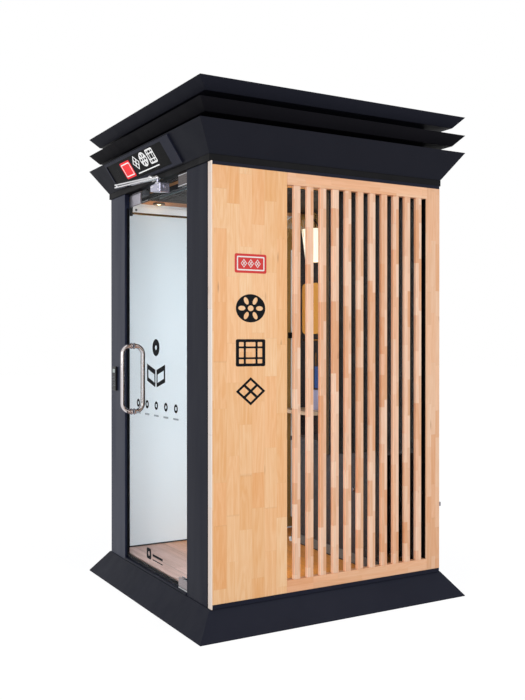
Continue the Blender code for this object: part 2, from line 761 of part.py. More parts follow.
def make_closer():
    spindle = (PIVOT_X - SPINDLE_FROM_PIVOT, DOOR_Y - SPINDLE_OUT)
    shoe = (PIVOT_X - SHOE_FROM_PIVOT, DOOR_Y - SHOE_OUT)
    elbow = (PIVOT_X - ELBOW_FROM_PIVOT, DOOR_Y - ELBOW_OUT)
    face = DOOR_Y - DOOR_GLASS / 2 - GAP
    right = spindle[0] + SPINDLE_FROM_END
    closer_top, arm_z = NECK_BOTTOM - CLOSER_BELOW_NECK, NECK_BOTTOM + ARM_ABOVE_NECK
    body = box(
        "closer_body",
        (right - CLOSER_LENGTH, face - CLOSER_DEPTH, closer_top - CLOSER_HEIGHT),
        (right, face, closer_top),
        SILVER_PAINT,
        CAST_EDGE,
    )
    combine(
        body,
        cylinder("closer_spindle", spindle, SPINDLE_RADIUS, closer_top - OVERCUT, arm_z - GAP, STEEL),
        "UNION",
    )
    arm = bar_between("closer_arm", spindle, elbow, arm_z, STEEL)
    forearm_z = arm_z + ARM_THICKNESS + ARM_LIFT
    combine(
        arm,
        cylinder("elbow_pin", elbow, ELBOW_PIN_RADIUS, arm_z + PIN_SEAT, forearm_z - PIN_CLEARANCE, STEEL),
        "UNION",
    )
    forearm = bar_between("closer_forearm", shoe, elbow, forearm_z, STEEL)
    lug_z = forearm_z + ARM_THICKNESS + GAP
    pin_top = lug_z + SHOE_LUG - PIN_CLEARANCE
    combine(
        forearm,
        cylinder("shoe_pin", shoe, ELBOW_PIN_RADIUS, forearm_z + PIN_SEAT, pin_top, STEEL),
        "UNION",
    )
    neck_face = -(HALF_Y - FASCIA_INSET)
    plate = box(
        "closer_shoe",
        (shoe[0] - SHOE_WIDTH / 2, neck_face - GAP - SHOE_PLATE, NECK_BOTTOM + SHOE_FOOT),
        (shoe[0] + SHOE_WIDTH / 2, neck_face - GAP, lug_z + SHOE_LUG),
        STEEL,
    )
    join_box(
        plate,
        "shoe_lug",
        (shoe[0] - ARM_HUB_RADIUS, shoe[1] - ARM_HUB_RADIUS, lug_z),
        (shoe[0] + ARM_HUB_RADIUS, neck_face - GAP - SHOE_PLATE / 2, lug_z + SHOE_LUG),
    )
    bore_radius = ELBOW_PIN_RADIUS + PIN_CLEARANCE
    bore = cylinder("shoe_bore", shoe, bore_radius, lug_z - OVERCUT, lug_z + SHOE_LUG + OVERCUT, STEEL)
    combine(plate, bore, "DIFFERENCE")
    turn_about("closer_shoe_axis", shoe, forearm_z, ["closer_forearm"])
    door_pieces = ["door_glass", "door_patch_bottom", "door_patch_top", "handle_outer", "handle_inner"]
    door_pieces += ["lock_armature", "closer_body"]
    door_axis = turn_about("door_axis", (PIVOT_X, DOOR_Y), DOOR_FOOT, door_pieces)
    turn_about("closer_spindle_axis", spindle, arm_z, ["closer_arm"], door_axis)


def make_reader():
    centre = -BODY_X + READER_FROM_EDGE
    box(
        "door_reader",
        (centre - READER_WIDTH / 2, -BODY_Y - GAP - READER_DEPTH, READER_CENTRE_Z - READER_HEIGHT / 2),
        (centre + READER_WIDTH / 2, -BODY_Y - GAP, READER_CENTRE_Z + READER_HEIGHT / 2),
        BLACK_PLASTIC,
        MOULDED_EDGE,
    )


def make_roof():
    low = ring_span(FASCIA_INSET)
    base_z = NECK_TOP + GAP
    neck = ring_span(TIER_NECK_INSET)
    sheet_ring(
        "fascia",
        [(*neck, base_z), (*low, base_z), (HALF_X, HALF_Y, FASCIA_TOP), (*neck, FASCIA_TOP)],
        BLACK_PAINT,
    )
    under = FASCIA_TOP
    tier = ring_span(TIER_INSET)
    for name, top in (("eave_lower", HEIGHT - TIER_SPACING), ("eave_upper", HEIGHT)):
        sheet_ring(
            name,
            [
                (neck[0] - TIER_FOOT, neck[1] - TIER_FOOT, under + GAP),
                (*neck, under + GAP),
                (*neck, top - TIER_DROP),
                (*tier, top - TIER_DROP),
                (HALF_X, HALF_Y, top),
            ],
            BLACK_PAINT,
            closed_top=True,
        )
        under = top
    foot = Vector((0.0, -low[1], base_z))
    slope = Vector((0.0, low[1] - HALF_Y, FASCIA_TOP - base_z))
    rise = slope.normalized()
    out = Vector((0.0, -rise.z, rise.y))
    sign_low = (SIGN_FROM_LEFT - low[0], GAP, SIGN_FROM_FOOT)
    sign_high = (low[0] - SIGN_FROM_RIGHT, GAP + SIGN_THICKNESS, slope.length - SIGN_FROM_TOP)
    sign = box_mesh("sign_panel", sign_low, sign_high)
    for vertex in sign.vertices:
        place = foot + rise * vertex.co.z + out * vertex.co.y
        vertex.co = (vertex.co.x, place.y, place.z)
    flip = bmesh.new()
    flip.from_mesh(sign)
    bmesh.ops.recalc_face_normals(flip, faces=flip.faces)
    flip.to_mesh(sign)
    flip.free()
    bevel(finish_object("sign_panel", sign, BLACK_PLASTIC), METAL_EDGE)


def make_ceiling_fittings():
    light_top = CEILING_Z - GAP
    light_low = light_top - LIGHT_DROP
    light_at = (ROOM_LEFT_X + LIGHT_FROM_LEFT, FRONT_IN_Y + LIGHT_FROM_FRONT)
    cylinder("ceiling_light", light_at, LIGHT_RADIUS, light_low, light_top, LAMP_WHITE, 32)
    half = FAN_SIZE / 2
    x, y = FAN_AT
    foot = NECK_TOP + GAP
    top = foot + FAN_HEIGHT
    housing = box("fan_housing", (x - half, y - half, foot), (x + half, y + half, top), BLACK_PLASTIC)
    combine(
        housing,
        cylinder("fan_bore", FAN_AT, FAN_BORE, foot - OVERCUT, top + OVERCUT, RAW_STEEL, 40),
        "DIFFERENCE",
    )
    bar_low = top - FAN_BAR
    join_box(
        housing,
        "motor_bar",
        (x - half + FAN_BAR / 2, y - FAN_BAR / 2, bar_low),
        (x + half - FAN_BAR / 2, y + FAN_BAR / 2, top),
    )
    can_low = bar_low - FAN_CAN_RISE
    combine(
        housing,
        cylinder("motor_can", FAN_AT, FAN_HUB_RADIUS, can_low, top, BLACK_PLASTIC),
        "UNION",
    )
    hub_low, hub_high = foot + FAN_CAN_RISE, can_low - GAP
    rotor = cylinder("fan_rotor", FAN_AT, FAN_HUB_RADIUS, hub_low, hub_high, BLACK_PLASTIC, 28)
    middle = (hub_low + hub_high) / 2
    for i in range(FAN_BLADES):
        turn = 2 * math.pi * i / FAN_BLADES
        blade = box(
            f"fan_blade_{i + 1}",
            (FAN_BLADE_ROOT, -FAN_BLADE_WIDTH / 2, -FAN_BLADE_THICKNESS / 2),
            (FAN_BLADE_RADIUS, FAN_BLADE_WIDTH / 2, FAN_BLADE_THICKNESS / 2),
            BLACK_PLASTIC,
        )
        blade.location = (*FAN_AT, middle)
        blade.rotation_euler = (math.radians(FAN_BLADE_PITCH), 0.0, turn)
        combine(rotor, blade, "UNION")
    turn_about("fan_axis", FAN_AT, middle, ["fan_rotor"])


def make_desk():
    foot, top = FLOOR_TOP + GAP, FLOOR_TOP + GAP + DESK_HEIGHT
    left, right = ROOM_LEFT_X + GAP, SIDE_IN_X - GAP
    back = ROOM_BACK_Y - GAP
    front = back - DESK_DEPTH
    board = front + DESK_TOP_OVERHANG
    desk_left = left + DESK_FROM_LEFT
    inner = board + DESK_BOARD
    desk_front = box("desk_front", (desk_left, board, foot), (right, inner, top), DARK_BOARD)
    end_low, end_high = (desk_left, inner - DESK_BOARD / 2, foot), (desk_left + DESK_BOARD, back, top)
    join_box(desk_front, "desk_end", end_low, end_high)
    box("desk_top", (desk_left, front, top + GAP), (right, back, DESK_TOP), DARK_BOARD, DESK_EDGE)
    shelf_low = DESK_TOP + SHELF_ABOVE_DESK
    box(
        "wall_shelf",
        (left, back - SHELF_DEPTH, shelf_low),
        (left + SHELF_LENGTH, back, shelf_low + SHELF_THICKNESS),
        OAK,
        TIMBER_EDGE,
    )
    screen_low, screen_right = DESK_TOP + SCREEN_ABOVE_DESK, SIDE_IN_X - SCREEN_FROM_SIDE
    box(
        "screen",
        (screen_right - SCREEN_WIDTH, back - SCREEN_DEPTH, screen_low),
        (screen_right, back, screen_low + SCREEN_HEIGHT),
        BLACK_PLASTIC,
        MOULDED_EDGE,
    )
    inlet_x = SIDE_OUT_X - BACK_POST - INLET_FROM_POST
    box(
        "power_inlet",
        (inlet_x - INLET_WIDTH / 2, BODY_Y + GAP, INLET_Z - INLET_HEIGHT / 2),
        (inlet_x + INLET_WIDTH / 2, BODY_Y + GAP + INLET_DEPTH, INLET_Z + INLET_HEIGHT / 2),
        BLACK_PLASTIC,
        MOULDED_EDGE,
    )


clear_scene()
make_base()
make_frame()
make_walls()
make_slatted_side()
make_door()
make_lock()
make_closer()
make_reader()
make_roof()
make_ceiling_fittings()
make_desk()
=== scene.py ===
"""A reading booth: a dark cabin with a glass door, a slatted timber side, a flared base and a tiered roof."""

import json
import math

import bmesh
import bpy
from mathutils import Matrix, Vector

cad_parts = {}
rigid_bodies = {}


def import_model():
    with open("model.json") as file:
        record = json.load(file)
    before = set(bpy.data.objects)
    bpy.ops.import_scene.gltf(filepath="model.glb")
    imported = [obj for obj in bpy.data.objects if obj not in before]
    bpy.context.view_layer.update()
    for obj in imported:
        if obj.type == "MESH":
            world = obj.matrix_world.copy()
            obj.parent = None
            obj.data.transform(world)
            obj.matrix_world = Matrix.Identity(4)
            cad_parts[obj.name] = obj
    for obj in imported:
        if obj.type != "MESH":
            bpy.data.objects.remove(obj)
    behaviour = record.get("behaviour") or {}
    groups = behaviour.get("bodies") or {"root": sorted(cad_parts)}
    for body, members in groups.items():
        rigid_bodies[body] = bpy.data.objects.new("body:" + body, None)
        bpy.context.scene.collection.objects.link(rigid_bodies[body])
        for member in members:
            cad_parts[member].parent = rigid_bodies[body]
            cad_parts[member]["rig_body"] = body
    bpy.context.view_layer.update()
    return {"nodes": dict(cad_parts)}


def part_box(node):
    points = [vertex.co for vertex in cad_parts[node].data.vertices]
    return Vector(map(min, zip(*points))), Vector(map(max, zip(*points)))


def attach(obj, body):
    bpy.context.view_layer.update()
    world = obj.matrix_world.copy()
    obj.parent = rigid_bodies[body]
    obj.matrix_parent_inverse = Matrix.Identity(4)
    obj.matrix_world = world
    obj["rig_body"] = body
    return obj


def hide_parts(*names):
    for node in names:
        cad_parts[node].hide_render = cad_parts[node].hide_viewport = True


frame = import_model()
nodes = frame["nodes"]


# The studio: a wide pale floor and a white surround, with two soft lamps.
# The surround is white to the camera, to glass and to bright metal, and a plainer grey as a light.
WHITE = (1.0, 1.0, 1.0)
SURROUND_TINT = (0.96, 0.97, 1.0, 1.0)
SURROUND_STRENGTH = 0.72
FLOOR_SIZE = 60.0
FLOOR_TINT = (0.52, 0.52, 0.54, 1.0)
PAPER_STRENGTH = 1.26
PAPER_SHARE = 0.72


def set_inputs(tree, node, values):
    """A socket among the values is linked, and any other value is set."""
    for name, value in values.items():
        if isinstance(value, bpy.types.NodeSocket):
            tree.links.new(value, node.inputs[name])
        else:
            node.inputs[name].default_value = value


def add_node(tree, kind, inputs=None, **settings):
    """Adds a shader or geometry node."""
    made = tree.nodes.new(kind)
    for name, value in settings.items():
        setattr(made, name, value)
    set_inputs(tree, made, inputs or {})
    return made


def math_node(tree, operation, first, second=0.0, third=None):
    values = {0: first, 1: second}
    if third is not None:
        values[2] = third
    return add_node(tree, "ShaderNodeMath", values, operation=operation).outputs[0]


def seen_rays(tree):
    """One for the rays that reach the viewer straight, through glass or off bright metal."""
    rays = add_node(tree, "ShaderNodeLightPath").outputs
    seen = math_node(tree, "MAXIMUM", rays["Is Camera Ray"], rays["Is Transmission Ray"])
    return math_node(tree, "MAXIMUM", seen, rays["Is Glossy Ray"])


world = bpy.data.worlds.new("studio")
bpy.context.scene.world = world
world.use_nodes = True
tree = world.node_tree
tree.nodes.clear()
surround = add_node(tree, "ShaderNodeBackground", {"Color": SURROUND_TINT, "Strength": SURROUND_STRENGTH})
white = add_node(tree, "ShaderNodeBackground", {"Color": (*WHITE, 1.0), "Strength": 1.0})
shares = {0: seen_rays(tree), 1: surround.outputs[0], 2: white.outputs[0]}
chosen = add_node(tree, "ShaderNodeMixShader", shares)
add_node(tree, "ShaderNodeOutputWorld", {"Surface": chosen.outputs[0]})

bpy.ops.mesh.primitive_plane_add(size=FLOOR_SIZE, location=(0.0, 0.0, 0.0))
floor = bpy.context.object
floor.name = "studio_floor"
floor_look = bpy.data.materials.new("studio_floor")
floor_look.use_nodes = True
tree = floor_look.node_tree
tree.nodes.clear()
matt = add_node(tree, "ShaderNodeBsdfDiffuse", {"Color": FLOOR_TINT})
paper = add_node(tree, "ShaderNodeEmission", {"Color": (*WHITE, 1.0), "Strength": PAPER_STRENGTH})
shown = math_node(tree, "MULTIPLY", seen_rays(tree), PAPER_SHARE)
mixed = add_node(tree, "ShaderNodeMixShader", {0: shown, 1: matt.outputs[0], 2: paper.outputs[0]})
add_node(tree, "ShaderNodeOutputMaterial", {"Surface": mixed.outputs[0]})
floor.data.materials.append(floor_look)


def soft_lamp(name, place, aim, size, power, colour=WHITE, unseen=False):
    """A rectangular area lamp. An unseen one lights the object but shows in nothing."""
    lamp = bpy.data.lights.new(name, "AREA")
    lamp.shape = "RECTANGLE"
    lamp.size, lamp.size_y = size
    lamp.energy = power
    lamp.color = colour
    holder = bpy.data.objects.new(name, lamp)
    bpy.context.scene.collection.objects.link(holder)
    holder.location = place
    holder.rotation_euler = (Vector(aim) - Vector(place)).to_track_quat("-Z", "Y").to_euler()
    if unseen:
        holder.visible_camera = holder.visible_glossy = holder.visible_transmission = False


for name, place, aim, side, watts in (
    ("side_lamp", (5.2, 1.2, 2.1), (0.0, 0.0, 1.1), 2.6, 74.0),
    ("front_lamp", (3.8, -6.2, 2.4), (0.3, 0.0, 1.2), 2.4, 90.0),
):
    soft_lamp(name, place, aim, (side, side), watts)

CAMERA_PLACE = (4.2125, -2.4483, 1.3351)
CAMERA_TURN = 60.1486
CAMERA_DIP = 0.2866
PICTURE_HEIGHT = 700
FOCAL_PIXELS = 883.25
CENTRE_RISE_PIXELS = 4.76
SENSOR_HEIGHT = 36.0
camera_data = bpy.data.cameras.new("camera")
camera_data.sensor_fit = "VERTICAL"
camera_data.sensor_height = SENSOR_HEIGHT
camera_data.lens = FOCAL_PIXELS / PICTURE_HEIGHT * SENSOR_HEIGHT
camera_data.shift_y = -CENTRE_RISE_PIXELS / PICTURE_HEIGHT
camera = bpy.data.objects.new("camera", camera_data)
camera.location = CAMERA_PLACE
camera.rotation_euler = (math.radians(90.0 - CAMERA_DIP), 0.0, math.radians(CAMERA_TURN))
bpy.context.scene.collection.objects.link(camera)
bpy.context.scene.camera = camera
bpy.context.scene.view_settings.view_transform = "Standard"


# The base: a folded sheet skirt that flares to the floor, over a timber cross that carries the deck.
# The skirt is powder coated in a satin charcoal, with its folds slightly rounded.
DUST = (0.34, 0.33, 0.32)
WELD = 0.00002
SHARP_EDGE = 25.0
SOCKET_KINDS = {int: "NodeSocketInt", float: "NodeSocketFloat", tuple: "NodeSocketColor"}
SOCKET_KINDS[type(None)] = "NodeSocketVector"


def name_inputs(tree, values):
    """Named inputs for a tree: whole numbers, numbers, colours, and vectors without a value."""
    for title, value in values.items():
        socket = tree.interface.new_socket(title, in_out="INPUT", socket_type=SOCKET_KINDS[type(value)])
        if value is not None:
            socket.default_value = value


def new_group(name, values):
    """A shader node group with named inputs. It gives a colour, a roughness and a height."""
    group = bpy.data.node_groups.new(name, "ShaderNodeTree")
    name_inputs(group, values)
    for title, kind in (("Color", tuple), ("Roughness", float), ("Height", float)):
        group.interface.new_socket(title, in_out="OUTPUT", socket_type=SOCKET_KINDS[kind])
    return group, group.nodes.new("NodeGroupInput").outputs, group.nodes.new("NodeGroupOutput").inputs


def noise(tree, vector, scale, detail=2.0, roughness=0.5, distortion=0.0):
    values = {"Vector": vector, "Scale": scale, "Detail": detail}
    values |= {"Roughness": roughness, "Distortion": distortion}
    return add_node(tree, "ShaderNodeTexNoise", values).outputs[0]


def remap(tree, value, low, high, new_low, new_high):
    values = {0: value, 1: low, 2: high, 3: new_low, 4: new_high}
    return add_node(tree, "ShaderNodeMapRange", values).outputs[0]


def stretched(tree, vector, scale, shift=(0.0, 0.0, 0.0)):
    values = {"Vector": vector, "Location": shift, "Scale": scale}
    return add_node(tree, "ShaderNodeMapping", values).outputs[0]


def split(tree, vector):
    return add_node(tree, "ShaderNodeSeparateXYZ", {0: vector}).outputs


def shaded(tree, colour, share):
    """The colour times a share."""
    return add_node(tree, "ShaderNodeVectorMath", {0: colour, "Scale": share}, operation="SCALE").outputs[0]


def mixed_colour(tree, share, first, second, **settings):
    """A mix of two colours, each a socket or three numbers."""
    first, second = ((*end, 1.0) if isinstance(end, tuple) else end for end in (first, second))
    values = {"Factor": share, "A": first, "B": second}
    return add_node(tree, "ShaderNodeMix", values, data_type="RGBA", **settings).outputs["Result"]


def ramp(tree, value, *stops):
    """A colour ramp through stops of (position, colour)."""
    made = add_node(tree, "ShaderNodeValToRGB", {0: value})
    elements = made.color_ramp.elements
    elements[0].position, elements[-1].position = stops[0][0], stops[-1][0]
    for position, colour in stops[1:-1]:
        elements.new(position)
    for element, (position, colour) in zip(elements, stops):
        element.color = (*colour, 1.0)
    return made.outputs[0]


coating_inputs = {"Vector": None, "Colour": (0.03, 0.03, 0.04, 1.0)}
coating_inputs |= {"Roughness": 0.4, "Grain": 900.0, "Dust": 0.1}
coating, given, result = new_group("powder_coat", coating_inputs)
cloud = noise(coating, given["Vector"], 2.2, 3.0, 0.6)
wipe = noise(coating, stretched(coating, given["Vector"], (14.0, 14.0, 1.6)), 1.0, 4.0, 0.6)
orange_peel = noise(coating, given["Vector"], given["Grain"])
upward = split(coating, add_node(coating, "ShaderNodeNewGeometry").outputs["Normal"])[2]
settled = math_node(coating, "MULTIPLY", remap(coating, upward, 0.2, 0.9, 0.0, 1.0), cloud)
settled = math_node(coating, "MULTIPLY", settled, given["Dust"])
clouded = shaded(coating, given["Colour"], remap(coating, cloud, 0.3, 0.7, 0.93, 1.07))
coating.links.new(mixed_colour(coating, settled, clouded, DUST), result["Color"])
change = math_node(coating, "ADD", remap(coating, wipe, 0.3, 0.7, -0.05, 0.06), settled)
coating.links.new(math_node(coating, "ADD", given["Roughness"], change), result["Roughness"])
coating.links.new(orange_peel, result["Height"])


def new_material(name):
    """An empty material with its Principled shader and the object's own coordinates."""
    made = bpy.data.materials.new(name)
    made.use_nodes = True
    tree = made.node_tree
    return made, tree, tree.nodes["Principled BSDF"], add_node(tree, "ShaderNodeTexCoord").outputs["Object"]


def bump(tree, height, strength, distance):
    values = {"Strength": strength, "Distance": distance, "Height": height}
    return add_node(tree, "ShaderNodeBump", values).outputs[0]


def place_group(tree, group, values, shader, bump_strength, bump_distance):
    """Places an effect group and joins its colour, roughness and height to the shader."""
    given = add_node(tree, "ShaderNodeGroup", values, node_tree=group).outputs
    normal = bump(tree, given["Height"], bump_strength, bump_distance)
    joined = {"Base Color": given["Color"], "Roughness": given["Roughness"], "Normal": normal}
    set_inputs(tree, shader, joined)


def coated_metal(name, colour, roughness, dust=0.0, specular=0.5):
    made, tree, shader, place = new_material(name)
    values = {"Vector": place, "Colour": (*colour, 1.0), "Roughness": roughness, "Dust": dust}
    place_group(tree, coating, values, shader, 0.15, 0.0004)
    shader.inputs["Specular IOR Level"].default_value = specular
    return made


def speckled(name, low, high, roughness, stretch, scale=1.0, detail=4.0, grain=0.5):
    """A matt natural stuff whose colour runs between two tones with its grain."""
    made, tree, shader, place = new_material(name)
    speck = noise(tree, stretched(tree, place, stretch), scale, detail, grain)
    colour = ramp(tree, speck, (0.0, low), (1.0, high))
    set_inputs(tree, shader, {"Base Color": colour, "Roughness": roughness})
    return made


def dress(node, *looks):
    """Gives a CAD node its finish."""
    mesh = nodes[node].data
    mesh.materials.clear()
    for look in looks:
        mesh.materials.append(look)


def add_object(name, data):
    made = bpy.data.objects.new(name, data)
    bpy.context.scene.collection.objects.link(made)
    return made


def ease(piece, width, segments=1, sharp=30.0):
    """Rounds the edges of a piece that are sharper than some degrees, and settles it."""
    easing = piece.modifiers.new("eased_edges", "BEVEL")
    easing.width = width
    easing.segments = segments
    easing.limit_method = "ANGLE"
    easing.angle_limit = math.radians(sharp)
    easing.harden_normals = False
    return settle(piece)


def eased_copy(node, look, width, segments=2):
    """A copy of a node with its edges eased, which stands for the node."""
    mesh = nodes[node].data.copy()
    shape = bmesh.new()
    shape.from_mesh(mesh)
    bmesh.ops.remove_doubles(shape, verts=shape.verts, dist=WELD)
    flat = {"angle_limit": math.radians(0.5), "delimit": {"NORMAL"}}
    bmesh.ops.dissolve_limit(shape, verts=shape.verts, edges=shape.edges, **flat)
    bmesh.ops.recalc_face_normals(shape, faces=shape.faces)
    shape.to_mesh(mesh)
    shape.free()
    mesh.materials.clear()
    mesh.materials.append(look)
    return stand_in(ease(add_object(node + "_finished", mesh), width, segments, SHARP_EDGE), node)


def settle(piece):
    """Turns a piece with modifiers, or a curve, into a plain mesh at the origin."""
    bpy.context.view_layer.update()
    done = bpy.data.meshes.new_from_object(piece.evaluated_get(bpy.context.evaluated_depsgraph_get()))
    done.transform(piece.matrix_world)
    name = piece.name
    old = piece.data
    bpy.data.objects.remove(piece, do_unlink=True)
    if old.users == 0 and isinstance(old, bpy.types.Mesh):
        bpy.data.meshes.remove(old)
    done.name = name
    return add_object(name, done)


def stand_in(piece, *replaced):
    """The piece rides on the body of the nodes that it replaces."""
    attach(piece, nodes[replaced[0]]["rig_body"])
    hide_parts(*replaced)
    return piece


def eased_box(name, low, high, look, easing=0.0, rides="cabin"):
    """A plain box from its two corners, with eased edges."""
    mesh = bpy.data.meshes.new(name)
    shape = bmesh.new()
    bmesh.ops.create_cube(shape, size=1.0)
    bmesh.ops.scale(shape, vec=Vector(high) - Vector(low), verts=shape.verts)
    bmesh.ops.translate(shape, vec=(Vector(high) + Vector(low)) / 2, verts=shape.verts)
    if easing:
        bmesh.ops.bevel(shape, geom=shape.edges, offset=easing, segments=2, profile=0.5, affect="EDGES")
    shape.to_mesh(mesh)
    shape.free()
    mesh.materials.append(look)
    piece = add_object(name, mesh)
    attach(piece, rides)
    return piece


# The left post and the roof tiers take copies of the one charcoal powder coat, each toned to how light falls
# on it: the left post's lighter, bluer coat is a painted reflection.
# name, colour, roughness, dust, specular level
COATS = (
    ("charcoal_coat", (0.0105, 0.0120, 0.0230), 0.42, 0.0, 0.07),
    ("left_post_coat", (0.028, 0.033, 0.058), 0.42, 0.0, 0.14),
    ("skirt_coat", (0.0115, 0.0132, 0.0235), 0.45, 0.03, 0.06),
    ("roof_coat", (0.016, 0.017, 0.024), 0.42, 0.0, 0.03),
    ("upper_eave_coat", (0.016, 0.017, 0.025), 0.42, 0.0, 0.02),
    ("lower_eave_coat", (0.0085, 0.0082, 0.0105), 0.5, 0.0, 0.02),
    ("dark_coat", (0.004, 0.004, 0.005), 0.55, 0.0, 0.10),
)
coats = [coated_metal(*values) for values in COATS]
charcoal_coat, left_post_coat, skirt_coat, roof_coat, upper_eave_coat, lower_eave_coat, dark_coat = coats
eased_copy("base_skirt", skirt_coat, 0.0010)
cross_look = speckled("primed_timber", (0.16, 0.10, 0.05), (0.34, 0.23, 0.13), 0.75, (3.0, 90.0, 90.0))
dress("base_frame", cross_look)
dress("floor_deck", cross_look)


# The floor inside: long vinyl planks with a pinkish oak print, laid from the door to the desk.
# Each plank has its own tone and its own stretch of the print, with a fine dark seam.
PLANK_WIDTH = 0.180
PLANK_LENGTH = 1.10
PLANK_DARK = (0.28, (0.52, 0.30, 0.235))
PLANK_LIGHT = (0.72, (0.78, 0.53, 0.47))
# From the door towards the desk the planks are tinted orange-brown: painted warm light from the room's lamps.
WARM_LIGHT_COLOUR = (0.98, 0.55, 0.125)
WARM_LIGHT_FROM, WARM_LIGHT_TO = -0.45, -0.15
SEAM_SHARE = 0.012
SEAM_COLOUR = (0.2, 0.13, 0.1)
plank_look, tree, shader, place = new_material("plank_floor")
parts = split(tree, place)
rows = math_node(tree, "DIVIDE", parts[1], PLANK_WIDTH)
row = math_node(tree, "FLOOR", rows)
row_noise = add_node(tree, "ShaderNodeTexWhiteNoise", {"W": row}, noise_dimensions="1D").outputs[0]
along = math_node(tree, "ADD", math_node(tree, "DIVIDE", parts[0], PLANK_LENGTH), row_noise)
plank_id = add_node(tree, "ShaderNodeCombineXYZ", {0: row, 1: math_node(tree, "FLOOR", along)}).outputs[0]
plank_tone = add_node(tree, "ShaderNodeTexWhiteNoise", {"Vector": plank_id}, noise_dimensions="2D").outputs
shifted = add_node(tree, "ShaderNodeVectorMath", {0: place, 1: plank_tone[1]}, operation="ADD").outputs[0]
figure = noise(tree, stretched(tree, shifted, (3.0, 26.0, 3.0)), 1.0, 5.0, 0.62, 0.8)
tone = math_node(tree, "ADD", figure, remap(tree, plank_tone[0], 0.0, 1.0, -0.10, 0.10))
edge = math_node(tree, "PINGPONG", math_node(tree, "FRACT", rows), 0.5)
seam = math_node(tree, "LESS_THAN", edge, SEAM_SHARE)
# Painted warm light: the tint rises along Y from the door towards the desk.
painted_warm_light = mixed_colour(tree, remap(tree, parts[1], WARM_LIGHT_FROM, WARM_LIGHT_TO, 0.0, 1.0), WHITE, WARM_LIGHT_COLOUR)
planks = ramp(tree, tone, PLANK_DARK, PLANK_LIGHT)
plank_colour = mixed_colour(tree, 1.0, planks, painted_warm_light, blend_type="MULTIPLY")
plank_colour = mixed_colour(tree, math_node(tree, "MULTIPLY", seam, 0.5), plank_colour, SEAM_COLOUR)
plank_values = {
    "Base Color": plank_colour,
    "Roughness": remap(tree, figure, 0.3, 0.7, 0.32, 0.42),
    "Normal": bump(tree, figure, 0.2, 0.0006),
    "Specular IOR Level": 0.2,
}
set_inputs(tree, shader, plank_values)
dress("floor_boards", plank_look)


# The cabin's steelwork: wide front posts, narrow back posts, roof panel, side frame and threshold.
# All are coated like the skirt and keep small round edges, as folded sheet has.
STEEL_EASING = 0.0014
# The left front post takes its lighter, bluer copy of the coat: painted reflection.
STEEL_LOOKS = {"post_front_left": left_post_coat, "roof_panel": dark_coat}
POSTS = ("post_front_left", "post_front_right", "post_back_left", "post_back_right")
for node in ("threshold", *POSTS, "roof_panel"):
    eased_copy(node, STEEL_LOOKS.get(node, charcoal_coat), STEEL_EASING)
dress("side_frame", dark_coat)
dress("left_outer_panel", charcoal_coat)
dress("back_outer_panel", charcoal_coat)


# The walls inside: a pale blue-white laminate on the left and a dark grey one at the back.
# Both are smooth board with a faint woven print and a satin skin.
THREAD_STRETCH = (1.0, 1.0, 0.12)


def laminate(name, colour, roughness, contrast):
    made, tree, shader, place = new_material(name)
    threads = noise(tree, stretched(tree, place, THREAD_STRETCH), 380.0)
    broad = noise(tree, place, 1.4, 3.0)
    shade = remap(tree, math_node(tree, "ADD", threads, broad), 0.7, 1.3, 1.0 - contrast, 1.0 + contrast)
    sheen = remap(tree, broad, 0.3, 0.7, roughness - 0.05, roughness + 0.05)
    values = {"Base Color": shaded(tree, colour, shade), "Roughness": sheen}
    set_inputs(tree, shader, {**values, "Normal": bump(tree, threads, 0.15, 0.0003)})
    return made


pale_wall = laminate("pale_wall", (0.79, 0.88, 0.94), 0.55, 0.02)
dress("left_wall_board", pale_wall)
dark_wall = laminate("dark_wall", (0.040, 0.034, 0.036), 0.6, 0.10)
dress("back_wall_board", dark_wall)
dress("desk_front", dark_wall)


# The timber side: one wide board, two rails, an end stile, a pale edge batten and eleven slats.
# All are block board of pale hardwood: short strips glued side by side and end to end, oiled and sanded.
# The stile has a lip beside the last slat, with a thin dark sheet on its side that is painted shade in that
# gap, and dark bands close the side above and below.
STRIP_SHIFT = 17.0
WAVE_TURN, WAVE_RATE, WAVE_SHARE = 40.0, 4.1, 0.21
BLOCK_LEAN = 0.05
BLOCK_JUMP = 30.0
FIBRES_ACROSS, FIBRES_ALONG = 150.0, 5.0
PORE_STRETCH = (5.0, 5.0, 3.0)
FLAME_STRETCH = (0.13, 0.13, 0.35)
KNOT_STRETCH = (0.10, 0.10, 0.55)
FLAME_RINGS = 34.0
STREAK_SHARE, FLAME_SHARE, PORE_SHARE, GLUE_SHARE = 0.85, 0.105, 0.25, 0.12
BLUSH = (1.0, 0.90, 0.82)
GLUE_COLOUR = (0.42, 0.19, 0.08)
KNOT_COLOUR = (0.40, 0.16, 0.06)
timber_inputs = {"Across": 0.0, "Along": 0.0, "Depth": 0.0, "Strip Width": 0.066, "Block Length": 0.27}
timber_inputs |= {"Pale": (0.86, 0.60, 0.40, 1.0), "Deep": (0.74, 0.36, 0.15, 1.0)}
timber_inputs |= {"Variety": 0.5, "Painted Side Light": 0.0}
timber, given, result = new_group("block_timber", timber_inputs)


def times(value, factor, rest=0.0):
    """The timber's own sum: value times factor, plus the rest."""
    return math_node(timber, "MULTIPLY_ADD", value, factor, rest)


def centred(value):
    return math_node(timber, "SUBTRACT", value, 0.5)


